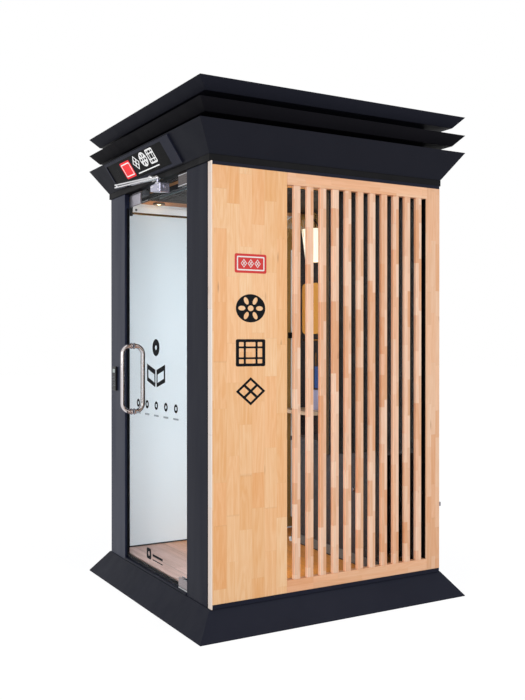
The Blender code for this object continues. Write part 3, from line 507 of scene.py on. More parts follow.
strip_place = math_node(timber, "DIVIDE", given["Across"], given["Strip Width"])
strip = math_node(timber, "FLOOR", strip_place)
strip_random = add_node(timber, "ShaderNodeTexWhiteNoise", {"W": strip}, noise_dimensions="1D").outputs[0]
run = math_node(timber, "DIVIDE", given["Along"], given["Block Length"])
run = times(strip_random, STRIP_SHIFT, run)
wave = math_node(timber, "SINE", times(strip_random, WAVE_TURN, times(run, WAVE_RATE)))
run = times(wave, WAVE_SHARE, run)
block_id = add_node(timber, "ShaderNodeCombineXYZ", {0: strip, 1: math_node(timber, "FLOOR", run)}).outputs[0]
block_noise = add_node(timber, "ShaderNodeTexWhiteNoise", {"Vector": block_id}, noise_dimensions="2D").outputs
block_random = split(timber, block_noise[1])
slanted = times(given["Along"], times(centred(block_random[2]), BLOCK_LEAN), given["Across"])
fibre_parts = {
    0: times(block_random[0], BLOCK_JUMP, times(slanted, FIBRES_ACROSS)),
    1: times(given["Depth"], FIBRES_ACROSS),
    2: times(block_random[1], BLOCK_JUMP, times(given["Along"], FIBRES_ALONG)),
}
fibre = add_node(timber, "ShaderNodeCombineXYZ", fibre_parts).outputs[0]
streaks = noise(timber, fibre, 1.0, 4.0, 0.62)
pores = noise(timber, stretched(timber, fibre, PORE_STRETCH), 1.0)
flame = noise(timber, stretched(timber, fibre, FLAME_STRETCH), 1.0, 3.0, 0.5, 1.2)
flame = math_node(timber, "SINE", times(flame, FLAME_RINGS))
tone = times(centred(block_noise[0]), given["Variety"], 0.5)
tone = times(centred(streaks), STREAK_SHARE, tone)
tone = times(flame, FLAME_SHARE, tone)
tone = times(centred(pores), PORE_SHARE, tone)
body = mixed_colour(timber, tone, given["Pale"], given["Deep"])
rosy = add_node(timber, "ShaderNodeVectorMath", {0: body, 1: BLUSH}, operation="MULTIPLY").outputs[0]
blushed = mixed_colour(timber, remap(timber, block_random[1], 0.3, 1.0, 0.0, 0.9), body, rosy)
side_edge, end_edge = (
    math_node(timber, "PINGPONG", math_node(timber, "FRACT", place), 0.5) for place in (strip_place, run)
)
side_line = remap(timber, side_edge, 0.004, 0.016, 1.0, 0.0)
end_line = remap(timber, end_edge, 0.001, 0.006, 1.0, 0.0)
glue = times(math_node(timber, "MAXIMUM", side_line, end_line), GLUE_SHARE)
jointed = mixed_colour(timber, glue, blushed, GLUE_COLOUR)
knot_place = stretched(timber, fibre, KNOT_STRETCH)
knot = add_node(timber, "ShaderNodeTexVoronoi", {"Vector": knot_place, "Scale": 1.0}).outputs["Distance"]
knotted = mixed_colour(timber, remap(timber, knot, 0.02, 0.09, 0.55, 0.0), jointed, KNOT_COLOUR)
# Faces that look along Y are made lighter by the share given below: painted light on the slats' side faces.
sideways = split(timber, add_node(timber, "ShaderNodeNewGeometry").outputs["Normal"])[1]
painted_side_light = times(math_node(timber, "ABSOLUTE", sideways), given["Painted Side Light"], 1.0)
timber.links.new(shaded(timber, knotted, painted_side_light), result["Color"])
timber.links.new(remap(timber, streaks, 0.3, 0.7, 0.40, 0.52), result["Roughness"])
timber.links.new(times(glue, -1.5, pores), result["Height"])


def block_board(name, pale, deep, strip_width, block_length, upright=True, shift=0.0, variety=0.7, lift=0.0):
    made, tree, shader, place = new_material(name)
    parts = split(tree, stretched(tree, place, (1.0, 1.0, 1.0), (0.0, shift, shift)))
    across, along = (parts[1], parts[2]) if upright else (parts[2], parts[1])
    values = {
        "Across": across,
        "Along": along,
        "Depth": parts[0],
        "Strip Width": strip_width,
        "Block Length": block_length,
        "Pale": (*pale, 1.0),
        "Deep": (*deep, 1.0),
        "Variety": variety,
        "Painted Side Light": lift,
    }
    place_group(tree, timber, values, shader, 0.25, 0.0004)
    shader.inputs["Specular IOR Level"].default_value = 0.35
    return made


TIMBER_EASING = 0.0012
board_timber = block_board("board_timber", (0.96, 0.64, 0.37), (0.82, 0.39, 0.13), 0.066, 0.27, variety=0.5)
eased_copy("side_board", board_timber, TIMBER_EASING)
batten_timber = block_board("batten_timber", (0.99, 0.90, 0.82), (0.98, 0.82, 0.70), 0.2, 0.5, variety=0.3)
eased_copy("edge_batten", batten_timber, 0.0008)
RAIL_PALE, RAIL_DEEP = (0.92, 0.57, 0.36), (0.78, 0.40, 0.20)
rail_timber = block_board("rail_timber", RAIL_PALE, RAIL_DEEP, 0.029, 0.24, upright=False, shift=0.0021)
eased_copy("slat_rail_top", rail_timber, TIMBER_EASING)
eased_copy("slat_rail_bottom", rail_timber, TIMBER_EASING)
stile_timber = block_board("stile_timber", (0.87, 0.58, 0.39), (0.75, 0.40, 0.21), 0.0277, 0.21, shift=0.0004)
eased_copy("end_stile", stile_timber, TIMBER_EASING)

stile_low, stile_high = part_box("end_stile")
LIP_WIDTH = 0.0085
LIP_GAP = 0.0004
SHADE_SHEET_THICKNESS = 0.0010
SHADE_SHEET_SETBACK = 0.0045
TOUCH = 0.0001
lip_foot, lip_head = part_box("slat_rail_bottom")[1].z + LIP_GAP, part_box("slat_rail_top")[0].z - LIP_GAP
lip_low = Vector((stile_low.x + 2 * TOUCH, stile_low.y - LIP_WIDTH, lip_foot))
lip_high = Vector((stile_high.x, stile_low.y - 2 * TOUCH, lip_head))
eased_box("end_stile_lip", lip_low, lip_high, stile_timber, 0.0008)
# A thin dark sheet on the lip's side, as dark as the shade in the gap by the last slat: painted shade.
shade_sheet_corner = (lip_high.x - SHADE_SHEET_SETBACK, lip_low.y - TOUCH, lip_high.z)
shade_sheet_foot = lip_low - Vector((0.0, SHADE_SHEET_THICKNESS + TOUCH, 0.0))
eased_box("stile_edge_shade_sheet", shade_sheet_foot, shade_sheet_corner, dark_coat, 0.0002)
BAND_SETBACK = 0.0015
BAND_GAP = 0.0003
FOOT_BAND, HEAD_BAND = 0.0200, 0.0163
band_low = (stile_low.x - 2 * TOUCH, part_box("side_board")[0].y + 2 * TOUCH, stile_low.z - FOOT_BAND)
band_high = (stile_high.x - BAND_SETBACK, stile_high.y - 2 * TOUCH, stile_high.z + HEAD_BAND)
eased_box("foot_band", band_low, (*band_high[:2], stile_low.z - BAND_GAP), charcoal_coat, 0.0006)
eased_box("head_band", (*band_low[:2], stile_high.z + BAND_GAP), band_high, charcoal_coat, 0.0006)

SLAT_PALE, SLAT_DEEP = (0.915, 0.635, 0.460), (0.745, 0.385, 0.200)
SLAT_STRIP = 0.0185
# The slats' side faces are made lighter through lift: painted light.
slat_timber = block_board(
    "slat_timber", SLAT_PALE, SLAT_DEEP, SLAT_STRIP, 0.15, shift=0.0115, variety=0.95, lift=0.5
)
for node in sorted(name for name in nodes if name.startswith(("slat_0", "slat_1"))):
    eased_copy(node, slat_timber, TIMBER_EASING)


# The marks on the board: a red printed tile with a pale inset border, and three dark openwork medallions.
# They are thin lacquered cut-outs glued to the timber, flat and plain.
MARK_THICKNESS = 0.0006


def curve_piece(name, curve, look):
    """A plain piece made from a curve, in one look."""
    piece = settle(add_object(name, curve))
    piece.data.materials.clear()
    piece.data.materials.append(look)
    return piece


def flat_shape(name, outline, look, holes=(), thickness=MARK_THICKNESS):
    """A flat plate from an outline and its holes, drawn with curves in the XY plane."""
    curve = bpy.data.curves.new(name, "CURVE")
    curve.dimensions = "2D"
    curve.fill_mode = "BOTH"
    curve.extrude = thickness / 2
    for points in (outline, *holes):
        spline = curve.splines.new("POLY")
        spline.points.add(len(points) - 1)
        for target, (x, y) in zip(spline.points, points):
            target.co = (x, y, 0.0, 1.0)
        spline.use_cyclic_u = True
    return curve_piece(name, curve, look)


def rounded_rectangle(width, height, radius, centre=(0.0, 0.0), steps=5):
    points = []
    for quarter, (sx, sy) in enumerate(((1, 1), (-1, 1), (-1, -1), (1, -1))):
        for i in range(steps + 1):
            turn = math.radians(90.0 * quarter + 90.0 * i / steps)
            x = centre[0] + sx * (width / 2 - radius) + radius * math.cos(turn)
            y = centre[1] + sy * (height / 2 - radius) + radius * math.sin(turn)
            points.append((x, y))
    return points


def ellipse(width, height, centre=(0.0, 0.0), steps=40, turned=0.0):
    points = []
    c, s = math.cos(turned), math.sin(turned)
    for i in range(steps):
        turn = 2 * math.pi * i / steps
        x, y = width / 2 * math.cos(turn), height / 2 * math.sin(turn)
        points.append((centre[0] + c * x - s * y, centre[1] + s * x + c * y))
    return points


def lattice_medallion(size):
    """A square frame with a three by three lattice, its middle field larger."""
    edges = [-0.43, -0.20, 0.20, 0.43]
    bar = 0.035
    holes = []
    for i in range(3):
        for j in range(3):
            x0, x1 = edges[i] + bar, edges[i + 1] - bar
            y0, y1 = edges[j] + bar, edges[j + 1] - bar
            width, height = (x1 - x0) * size[0], (y1 - y0) * size[1]
            centre = ((x0 + x1) / 2 * size[0], (y0 + y1) / 2 * size[1])
            holes.append(rounded_rectangle(width, height, 0.003, centre))
    return rounded_rectangle(size[0], size[1], 0.008), holes


def rosette_medallion(size, petals=6):
    """A round plate with a ring of oval openings round its middle."""
    eye, ring, petal_length, petal_width = 0.20, 0.30, 0.24, 0.17
    holes = [ellipse(eye * size[0], eye * size[1])]
    for i in range(petals):
        turn = 2 * math.pi * i / petals
        centre = (ring * size[0] * math.cos(turn), ring * size[1] * math.sin(turn))
        holes.append(ellipse(petal_length * size[0], petal_width * size[1], centre, 24, turn))
    return ellipse(size[0], size[1]), holes


def diamond(centre, width, height):
    x, y = centre
    return [(x + width / 2, y), (x, y + height / 2), (x - width / 2, y), (x, y - height / 2)]


def diamond_medallion(size):
    """A diamond with a smaller diamond opening in each of its quarters."""
    offset, opening = 0.225, 0.33
    holes = []
    for dx, dy in ((1, 0), (0, 1), (-1, 0), (0, -1)):
        centre = (dx * offset * size[0], dy * offset * size[1])
        holes.append(diamond(centre, opening * size[0], opening * size[1]))
    return diamond((0.0, 0.0), size[0], size[1]), holes


def seat(name, outline, look, face, place, holes=(), thickness=MARK_THICKNESS, rides="cabin"):
    """A flat plate on a face. The face turns the piece, and the place says where it lies."""
    piece = flat_shape(name, outline, look, holes, thickness)
    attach(face(piece, *place), rides)


def face_towards_x(piece, x, y, z):
    """Stands a flat plate up on a face that looks along +X, its width along Y."""
    piece.data.transform(Matrix(((0, 0, 1, x), (1, 0, 0, y), (0, 1, 0, z), (0, 0, 0, 1))))
    return piece


MARK_MIDDLE_Y = -0.4695
MARK_WIDTH = 0.155
TILE_MIDDLE_Z = 1.691
TILE_WIDTH, TILE_HEIGHT = 0.167, 0.088
BORDER_INSET, BORDER_WIDTH = 0.011, 0.006
FLECK_PITCH = 0.036
FLECK_SIZE = (0.032, 0.040)
ink_dark = coated_metal("ink_dark", (0.009, 0.010, 0.012), 0.5, 0.0, 0.03)
ink_red = coated_metal("ink_red", (0.66, 0.040, 0.035), 0.5, 0.0, 0.2)
ink_pale = coated_metal("ink_pale", (0.90, 0.84, 0.80), 0.5, 0.0, 0.2)
mark_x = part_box("side_board")[1].x + MARK_THICKNESS / 2 + TOUCH
raised_x = mark_x + MARK_THICKNESS
tile_place, raised_place = ((x, MARK_MIDDLE_Y, TILE_MIDDLE_Z) for x in (mark_x, raised_x))
seat("board_tile", rounded_rectangle(TILE_WIDTH, TILE_HEIGHT, 0.008), ink_red, face_towards_x, tile_place)
outer, inner = 2 * BORDER_INSET, 2 * (BORDER_INSET + BORDER_WIDTH)
border_outline = rounded_rectangle(TILE_WIDTH - outer, TILE_HEIGHT - outer, 0.005)
border_hole = rounded_rectangle(TILE_WIDTH - inner, TILE_HEIGHT - inner, 0.003)
seat("board_tile_border", border_outline, ink_pale, face_towards_x, raised_place, [border_hole])
for i in range(3):
    outline, holes = diamond_medallion(FLECK_SIZE)
    place = (raised_x, MARK_MIDDLE_Y + (i - 1) * FLECK_PITCH, TILE_MIDDLE_Z)
    seat(f"board_tile_diamond_{i + 1}", outline, ink_pale, face_towards_x, place, holes)
for name, shape, height, middle in (
    ("board_medallion_top", rosette_medallion, 0.130, 1.485),
    ("board_medallion_middle", lattice_medallion, 0.125, 1.280),
    ("board_medallion_bottom", diamond_medallion, 0.130, 1.1025),
):
    outline, holes = shape((MARK_WIDTH, height))
    seat(name, outline, ink_dark, face_towards_x, (mark_x, MARK_MIDDLE_Y, middle), holes)


# The glazing: clear toughened glass in the door, and a grey pane behind the slats.
# Lamps shine through both, so the room is lit from outside as well.
HAZE = (0.85, 0.88, 0.90)


def glazing(name, tint, index):
    made, tree, shader, place = new_material(name)
    haze = remap(tree, noise(tree, place, 3.0, 3.0), 0.3, 0.7, 0.0, 0.02)
    values = {"Base Color": mixed_colour(tree, haze, tint, HAZE), "Roughness": 0.0, "IOR": index}
    set_inputs(tree, shader, {**values, "Transmission Weight": 1.0, "Specular IOR Level": 0.1})
    rays = add_node(tree, "ShaderNodeLightPath").outputs
    passing = math_node(tree, "MAXIMUM", rays["Is Shadow Ray"], rays["Is Diffuse Ray"])
    clear = add_node(tree, "ShaderNodeBsdfTransparent", {"Color": (*tint, 1.0)})
    mix = add_node(tree, "ShaderNodeMixShader", {0: passing, 1: shader.outputs[0], 2: clear.outputs[0]})
    tree.links.new(mix.outputs[0], tree.nodes["Material Output"].inputs["Surface"])
    return made


dress("door_glass", glazing("door_glazing", (0.97, 0.99, 0.99), 1.05))
dress("side_glass", glazing("side_glazing", (0.93, 0.93, 0.93), 1.15))
dress("side_inner_panel", laminate("inner_panel_board", (0.0025, 0.0025, 0.003), 0.6, 0.10))
panel_low, panel_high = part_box("side_inner_panel")
edge_low = (panel_high.x + TOUCH, panel_low.y + 0.0004, panel_low.z + 0.004)
edge_high = (panel_high.x + 0.0014, panel_low.y + 0.017, panel_high.z - 0.002)
panel_edge_tape = coated_metal("panel_edge_tape", (0.24, 0.19, 0.11), 0.4, 0.0, 0.3)
eased_box("inner_panel_edge_tape", edge_low, edge_high, panel_edge_tape, 0.0003)


# The print on the door glass: a dark ring over a pair of leaves, and a row of small discs under it.
# It is thin vinyl film on the outer face of the leaf, and it swings with the door.
glass_low, glass_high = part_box("door_glass")
vinyl_y = glass_low.y - MARK_THICKNESS / 2 - TOUCH
FIGURE_X = -0.010
RING_Z, LEAVES_Z = 1.300, 1.155
LEAF_OUTER = [(0.008, -0.060), (0.118, -0.030), (0.118, 0.060), (0.008, 0.030)]
LEAF_INNER = [(0.020, -0.036), (0.101, -0.012), (0.101, 0.030), (0.020, 0.006)]
DISC_COUNT = 5
DISC_START = -0.251
DISC_PITCH = 0.1225
DISC_SIZE = 0.044
DISC_Z = 1.001
RULE_DROP = 0.052
LOW_MARK_X, LOW_MARK_Z = -0.105, 0.218
LOW_RULE_X = LOW_MARK_X + 0.115
LOW_RULE_WIDTH = 0.130


def face_towards_door(piece, x, y, z):
    """Stands a flat plate up on a face that looks along -Y, its width along X."""
    piece.data.transform(Matrix(((1, 0, 0, x), (0, 0, -1, y), (0, 1, 0, z), (0, 0, 0, 1))))
    return piece


def printed(name, outline, x, z, holes=(), look=ink_dark):
    seat(name, outline, look, face_towards_door, (x, vinyl_y, z), holes, rides="door")


printed("glass_ring", ellipse(0.092, 0.088), FIGURE_X, RING_Z, [ellipse(0.024, 0.024)])
for name, side in (("glass_leaf_left", -1), ("glass_leaf_right", 1)):
    outline, opening = ([(side * x, y) for x, y in points] for points in (LEAF_OUTER, LEAF_INNER))
    printed(name, outline, FIGURE_X, LEAVES_Z, [opening])
ink_grey = coated_metal("ink_grey", (0.36, 0.41, 0.44), 0.5, 0.0, 0.05)
for i in range(DISC_COUNT):
    x = DISC_START + i * DISC_PITCH
    hole = ellipse(0.018, 0.018) if i % 2 else rounded_rectangle(0.016, 0.016, 0.002)
    printed(f"glass_disc_{i + 1}", ellipse(DISC_SIZE, DISC_SIZE), x, DISC_Z, [hole])
    rule = rounded_rectangle(0.062, 0.009, 0.003)
    printed(f"glass_rule_{i + 1}", rule, x, DISC_Z - RULE_DROP, look=ink_grey)
low_tile = rounded_rectangle(0.058, 0.056, 0.010)
printed("glass_low_tile", low_tile, LOW_MARK_X, LOW_MARK_Z, [ellipse(0.024, 0.024)])
for name, thickness, drop in (("glass_low_rule_1", 0.012, -0.002), ("glass_low_rule_2", 0.005, 0.022)):
    printed(name, rounded_rectangle(LOW_RULE_WIDTH, thickness, 0.002), LOW_RULE_X, LOW_MARK_Z - drop)


# The door's metal: clamps that hold the leaf at its pivots, and the plates and pins they turn on.
# They are satin stainless steel, brushed along their length. Dark seals close the leaf's edge and foot.
CLAMP_EASING = 0.0012
LINE_HEIGHT = 0.0034
LINE_SETBACK = 0.0005
SEAL_FRONT, SEAL_BACK = 0.0012, 0.0008
SEAL_EASING = 0.0004


def brushed(name, colour, roughness, direction=(1.0, 90.0, 90.0), strength=0.25):
    """Metal with fine lines. The colour is three numbers, or a list of ramp stops from face-on to the rim,
    which paints reflection bands into the colour.
    """
    made, tree, shader, place = new_material(name)
    lines = noise(tree, stretched(tree, place, direction), 14.0, 3.0, 0.6)
    if isinstance(colour, list):
        # Along the facing angle the colour runs through the stops: painted reflection bands.
        facing = add_node(tree, "ShaderNodeLayerWeight", {"Blend": 0.5}).outputs["Facing"]
        tint = ramp(tree, facing, *colour)
    else:
        cloudy = math_node(tree, "ADD", lines, noise(tree, place, 9.0))
        tint = shaded(tree, colour, remap(tree, cloudy, 0.7, 1.3, 0.90, 1.08))
    sheen = remap(tree, lines, 0.3, 0.7, roughness - 0.06, roughness + 0.08)
    values = {"Base Color": tint, "Roughness": sheen, "Metallic": 1.0}
    set_inputs(tree, shader, {**values, "Normal": bump(tree, lines, strength, 0.0002)})
    return made


satin_steel = brushed("satin_steel", (0.62, 0.60, 0.59), 0.30)
clamp_steel = brushed("clamp_steel", (0.090, 0.075, 0.075), 0.30)
bright_edge = coated_metal("bright_edge", (0.72, 0.72, 0.74), 0.30)
white_plate = coated_metal("white_plate", (0.86, 0.87, 0.88), 0.35)
eased_copy("door_patch_bottom", brushed("patch_steel", (0.30, 0.26, 0.27), 0.30), CLAMP_EASING)
eased_copy("door_patch_top", clamp_steel, CLAMP_EASING)
dress("pivot_plate_bottom", white_plate)
dress("pivot_plate_top", clamp_steel)
dress("closer_shoe", satin_steel)
patch_low, patch_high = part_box("door_patch_top")
for name, z in (("patch_line_lower", patch_low.z + 0.0015), ("patch_line_upper", patch_high.z - 0.0050)):
    line_low = (patch_low.x + LINE_SETBACK, patch_low.y - 0.0008, z)
    line_high = (patch_high.x - LINE_SETBACK, patch_low.y + 0.0004, z + LINE_HEIGHT)
    eased_box(name, line_low, line_high, bright_edge, 0.0003, "door")
seal_low = (glass_low.x - 0.0022, glass_low.y - SEAL_FRONT, glass_low.z + 0.0010)
seal_high = (glass_low.x + 0.0075, glass_high.y + SEAL_BACK, patch_low.z - 0.012)
eased_box("closing_edge_seal", seal_low, seal_high, dark_coat, SEAL_EASING, "door")
sill_low = (glass_low.x + 0.0080, glass_low.y - SEAL_FRONT, glass_low.z - 0.0015)
sill_high = (patch_low.x - 0.0010, glass_high.y + SEAL_BACK, glass_low.z + 0.0070)
eased_box("door_foot_seal", sill_low, sill_high, dark_coat, SEAL_EASING, "door")
post_low, post_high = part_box("post_front_left")
reveal_low = (post_high.x + TOUCH, post_low.y + 0.0008, post_low.z + 0.014)
reveal_coat = coated_metal("reveal_coat", (0.018, 0.021, 0.040), 0.45, 0.0, 0.08)
eased_box("post_reveal_seal", reveal_low, (post_high.x + 0.0010, post_high.y, post_high.z), reveal_coat)


# The pull handles: one polished stainless tube on each face of the leaf, bent round into a D.
# Each leg ends in a collar on the glass. Light and dark bands towards the rim are painted reflections, set in
# the colour by the facing angle.
HANDLE_X = glass_low.x + 0.067
HANDLE_MIDDLE_Z = 1.127
HANDLE_SPAN = 0.360
HANDLE_REACH = 0.061
HANDLE_RADIUS = 0.0125
HANDLE_BEND = 0.046
BEND_STEPS = 12
GLASS_GAP = 0.0005
DOOR_MIDDLE_Y = (glass_low.y + glass_high.y) / 2
HANDLE_REFLECTION_BANDS = [
    (0.0, (0.86, 0.82, 0.83)),
    (0.06, (0.46, 0.40, 0.39)),
    (0.16, (0.80, 0.76, 0.76)),
    (0.34, (0.50, 0.46, 0.48)),
    (0.46, (0.13, 0.12, 0.15)),
    (1.0, (0.10, 0.09, 0.12)),
]
COLLAR = [
    (HANDLE_RADIUS, 0.0),
    (0.0165, 0.0),
    (0.0170, 0.0008),
    (0.0170, 0.0052),
    (0.0160, 0.0065),
    (HANDLE_RADIUS + 0.0003, 0.0070),
]
TURNING_WELD = 0.000005
TURNING_SHARP = math.radians(32.0)
polished_steel = brushed("polished_steel", HANDLE_REFLECTION_BANDS, 0.10, (30.0, 30.0, 2.0), 0.05)


def swept_tube(name, points, radius, look, resolution=8):
    curve = bpy.data.curves.new(name, "CURVE")
    curve.dimensions = "3D"
    curve.bevel_depth = radius
    curve.bevel_resolution = resolution
    curve.use_fill_caps = True
    spline = curve.splines.new("POLY")
    spline.points.add(len(points) - 1)
    for target, point in zip(spline.points, points):
        target.co = (*point, 1.0)
    spline.use_smooth = True
    return curve_piece(name, curve, look)


def lathe(name, profile, place, axis, look, steps=40):
    """Turns a profile of (radius, height) points about an axis through place."""
    mesh = bpy.data.meshes.new(name)
    shape = bmesh.new()
    chain = [shape.verts.new((radius, 0.0, height)) for radius, height in profile]
    edges = [shape.edges.new(pair) for pair in zip(chain, chain[1:])]
    about = {"cent": (0, 0, 0), "axis": (0, 0, 1), "angle": 2 * math.pi}
    bmesh.ops.spin(shape, geom=chain + edges, steps=steps, use_merge=True, **about)
    bmesh.ops.remove_doubles(shape, verts=shape.verts, dist=TURNING_WELD)
    bmesh.ops.recalc_face_normals(shape, faces=shape.faces)
    shape.to_mesh(mesh)
    shape.free()
    turn = Vector(axis).to_track_quat("Z", "Y").to_matrix().to_4x4()
    mesh.transform(Matrix.Translation(place) @ turn)
    mesh.shade_smooth()
    mesh.set_sharp_from_angle(angle=TURNING_SHARP)
    mesh.materials.append(look)
    return add_object(name, mesh)


for node, side in (("handle_outer", -1), ("handle_inner", 1)):
    face = side * (glass_high.y - DOOR_MIDDLE_Y + GLASS_GAP)
    half = [(face, HANDLE_SPAN / 2)]
    for i in range(BEND_STEPS + 1):
        turn = math.pi / 2 * i / BEND_STEPS
        out = side * HANDLE_REACH - side * HANDLE_BEND * (1 - math.sin(turn))
        half.append((out, HANDLE_SPAN / 2 - HANDLE_BEND * (1 - math.cos(turn))))
    route = half + [(y, -z) for y, z in reversed(half)]
    route = [(HANDLE_X, DOOR_MIDDLE_Y + y, HANDLE_MIDDLE_Z + z) for y, z in route]
    stand_in(swept_tube(node + "_tube", route, HANDLE_RADIUS, polished_steel), node)
    for end, end_side in (("lower", -1), ("upper", 1)):
        collar_place = (HANDLE_X, DOOR_MIDDLE_Y + face, HANDLE_MIDDLE_Z + end_side * HANDLE_SPAN / 2)
        collar = lathe(f"{node}_collar_{end}", COLLAR, collar_place, (0.0, side, 0.0), polished_steel)
        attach(collar, "door")


# The lock at the head of the door: a steel armature clamped on the leaf, and the magnet bar under the header.
# The magnet has a plain satin anodised case, and the armature is brushed steel.
anodised = coated_metal("anodised_silver", (0.055, 0.060, 0.075), 0.38, 0.0, 0.3)
eased_copy("lock_magnet", anodised, 0.0015)
eased_copy("lock_armature", brushed("armature_steel", (0.36, 0.33, 0.38), 0.32), CLAMP_EASING)


# The door closer: a cast body screwed to the glass clamp plate, with a spindle that drives two flat arms.
# The cast body is silver lacquer, and its arms are bright zinc-plated steel.
CLOSER_EASING = 0.0065
CASE_LINE = 2.110
CASE_TOP = 2.122
CASE_MIDDLE_Z = 2.103
LEFT_DEPTH, ADDED_DEPTH = 0.55, 0.40
SPINDLE_X, SPINDLE_Y = 0.100, -0.694
HUB = [(0.0001, 0.0075), (0.013, 0.0075), (0.0145, 0.0060), (0.0150, 0.0), (0.0200, 0.0)]
CAP = [(0.0001, 0.0030), (0.0080, 0.0028), (0.0100, 0.0015), (0.0105, 0.0)]
SCREW = [(0.0001, 0.0012), (0.0030, 0.0022), (0.0042, 0.0010), (0.0044, 0.0)]
cast_silver = coated_metal("cast_silver", (0.46, 0.45, 0.56), 0.24)
cast_silver.node_tree.nodes["Principled BSDF"].inputs["Metallic"].default_value = 0.75
bright_steel = brushed("bright_steel", (0.72, 0.72, 0.74), 0.22)
closer_low, closer_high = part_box("closer_body")
closer_case = eased_copy("closer_body", cast_silver, CLOSER_EASING, 3)
# Under its line the case is shallow on the left and deepens towards the right.
for vertex in closer_case.data.vertices:
    if vertex.co.z < CASE_LINE:
        along = (vertex.co.x - closer_low.x) / (closer_high.x - closer_low.x)
        vertex.co.z = CASE_LINE + (vertex.co.z - CASE_LINE) * (LEFT_DEPTH + ADDED_DEPTH * along)
hub = lathe("closer_hub", HUB, (SPINDLE_X, SPINDLE_Y, CASE_TOP + 0.0002), (0.0, 0.0, 1.0), bright_steel)
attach(hub, "door")
for name, x, side in (("closer_cap_left", closer_low.x, -1.0), ("closer_cap_right", closer_high.x, 1.0)):
    place = (x, (closer_low.y + closer_high.y) / 2, CASE_MIDDLE_Z)
    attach(lathe(name, CAP, place, (side, 0.0, 0.0), cast_silver), "door")
screw_places = (
    (closer_low.x + 0.018, CASE_MIDDLE_Z + 0.006),
    (closer_low.x + 0.036, CASE_MIDDLE_Z + 0.006),
    (closer_high.x - 0.016, CASE_MIDDLE_Z + 0.006),
    (closer_high.x - 0.016, CASE_MIDDLE_Z - 0.014),
)
for i, (x, z) in enumerate(screw_places):
    screw = lathe(f"closer_screw_{i + 1}", SCREW, (x, closer_low.y, z), (0.0, -1.0, 0.0), bright_steel, 20)
    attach(screw, "door")
dress("closer_arm", bright_steel)
dress("closer_forearm", bright_steel)


# The reader on the left post: a glossy black case with a small pale window and rows of touch marks.
# The marks are printed rings of one grey, in three columns of four.
GLOSS = (0.012, 0.012, 0.014)
WINDOW_DROP = 0.024
KEYS_RISE = 0.052
KEY_COLUMNS, KEY_ROWS = 3, 4
KEY_PITCH, KEY_RADIUS, KEY_WIRE = 0.0155, 0.0042, 0.0004
reader_low, reader_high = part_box("door_reader")
gloss_black, tree, shader, place = new_material("gloss_black")
smear = noise(tree, place, 30.0, 3.0)
smeared = shaded(tree, GLOSS, remap(tree, smear, 0.3, 0.7, 0.9, 1.15))
sheen = remap(tree, smear, 0.3, 0.7, 0.14, 0.24)
set_inputs(tree, shader, {"Base Color": smeared, "Roughness": sheen, "Specular IOR Level": 0.12})
eased_copy("door_reader", gloss_black, 0.0035, 3)
window_look = coated_metal("reader_window", (0.42, 0.50, 0.47), 0.25)
reader_middle = (reader_low.x + reader_high.x) / 2
window_place = (reader_middle, reader_low.y - 0.0004, reader_high.z - WINDOW_DROP)
seat("reader_window", rounded_rectangle(0.034, 0.020, 0.002), window_look, face_towards_door, window_place)


def geometry_tree(name, sizes):
    """A Geometry Nodes tree with named inputs. Gives the tree and the inputs."""
    tree = bpy.data.node_groups.new(name, "GeometryNodeTree")
    tree.interface.new_socket("Geometry", in_out="OUTPUT", socket_type="NodeSocketGeometry")
    name_inputs(tree, sizes)
    return tree, tree.nodes.new("NodeGroupInput").outputs


def thick_line(tree, curve, sides, radius):
    """A tube along a curve, with a few sides."""
    section = add_node(tree, "GeometryNodeCurvePrimitiveCircle", {"Resolution": sides, "Radius": radius})
    values = {"Curve": curve, "Profile Curve": section.outputs["Curve"]}
    return add_node(tree, "GeometryNodeCurveToMesh", values).outputs["Mesh"]


def set_out(name, tree, look, points, part, **turns):
    """Sets a part on points, makes the copies real, gives them their look and settles the piece."""
    values = {"Points": points, "Instance": part, **turns}
    placed = add_node(tree, "GeometryNodeInstanceOnPoints", values).outputs["Instances"]
    real = add_node(tree, "GeometryNodeRealizeInstances", {"Geometry": placed}).outputs["Geometry"]
    finish = add_node(tree, "GeometryNodeSetMaterial", {"Geometry": real, "Material": look})
    tree.links.new(finish.outputs["Geometry"], tree.nodes.new("NodeGroupOutput").inputs["Geometry"])
    holder = add_object(name, bpy.data.meshes.new(name))
    holder.modifiers.new(name, "NODES").node_group = tree
    return settle(holder)


def ring_grid(name, columns, rows, spacing, radius, wire, look):
    """Geometry Nodes: small rings set on a flat grid, made real."""
    sizes = {"Columns": columns, "Rows": rows, "Spacing": spacing, "Radius": radius, "Wire": wire}
    tree, given = geometry_tree(name, sizes)
    width, height = (
        math_node(tree, "MULTIPLY", math_node(tree, "SUBTRACT", given[count], 1.0), given["Spacing"])
        for count in ("Columns", "Rows")
    )
    values = {"Size X": width, "Size Y": height, "Vertices X": given["Columns"], "Vertices Y": given["Rows"]}
    grid = add_node(tree, "GeometryNodeMeshGrid", values).outputs["Mesh"]
    circle = add_node(tree, "GeometryNodeCurvePrimitiveCircle", {"Resolution": 14, "Radius": given["Radius"]})
    return set_out(name, tree, look, grid, thick_line(tree, circle.outputs["Curve"], 6, given["Wire"]))


key_grey = coated_metal("key_grey", (0.30, 0.33, 0.35), 0.4)
keys = ring_grid("reader_keys", KEY_COLUMNS, KEY_ROWS, KEY_PITCH, KEY_RADIUS, KEY_WIRE, key_grey)
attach(face_towards_door(keys, reader_middle, reader_low.y - 0.0002, reader_low.z + KEYS_RISE), "cabin")


# The roof: a sloping fascia that carries the sign, and two flared eaves with dark gaps between them.
# Each tier is folded sheet with mitred corners, coated like the posts.
EAVE_EASING = 0.0012
# The fascia and the upper eave take a lighter copy of the charcoal coat and the lower eave a darker one:
# painted light and painted shade.
for node, look in (("fascia", roof_coat), ("eave_lower", lower_eave_coat), ("eave_upper", upper_eave_coat)):
    eased_copy(node, look, EAVE_EASING)


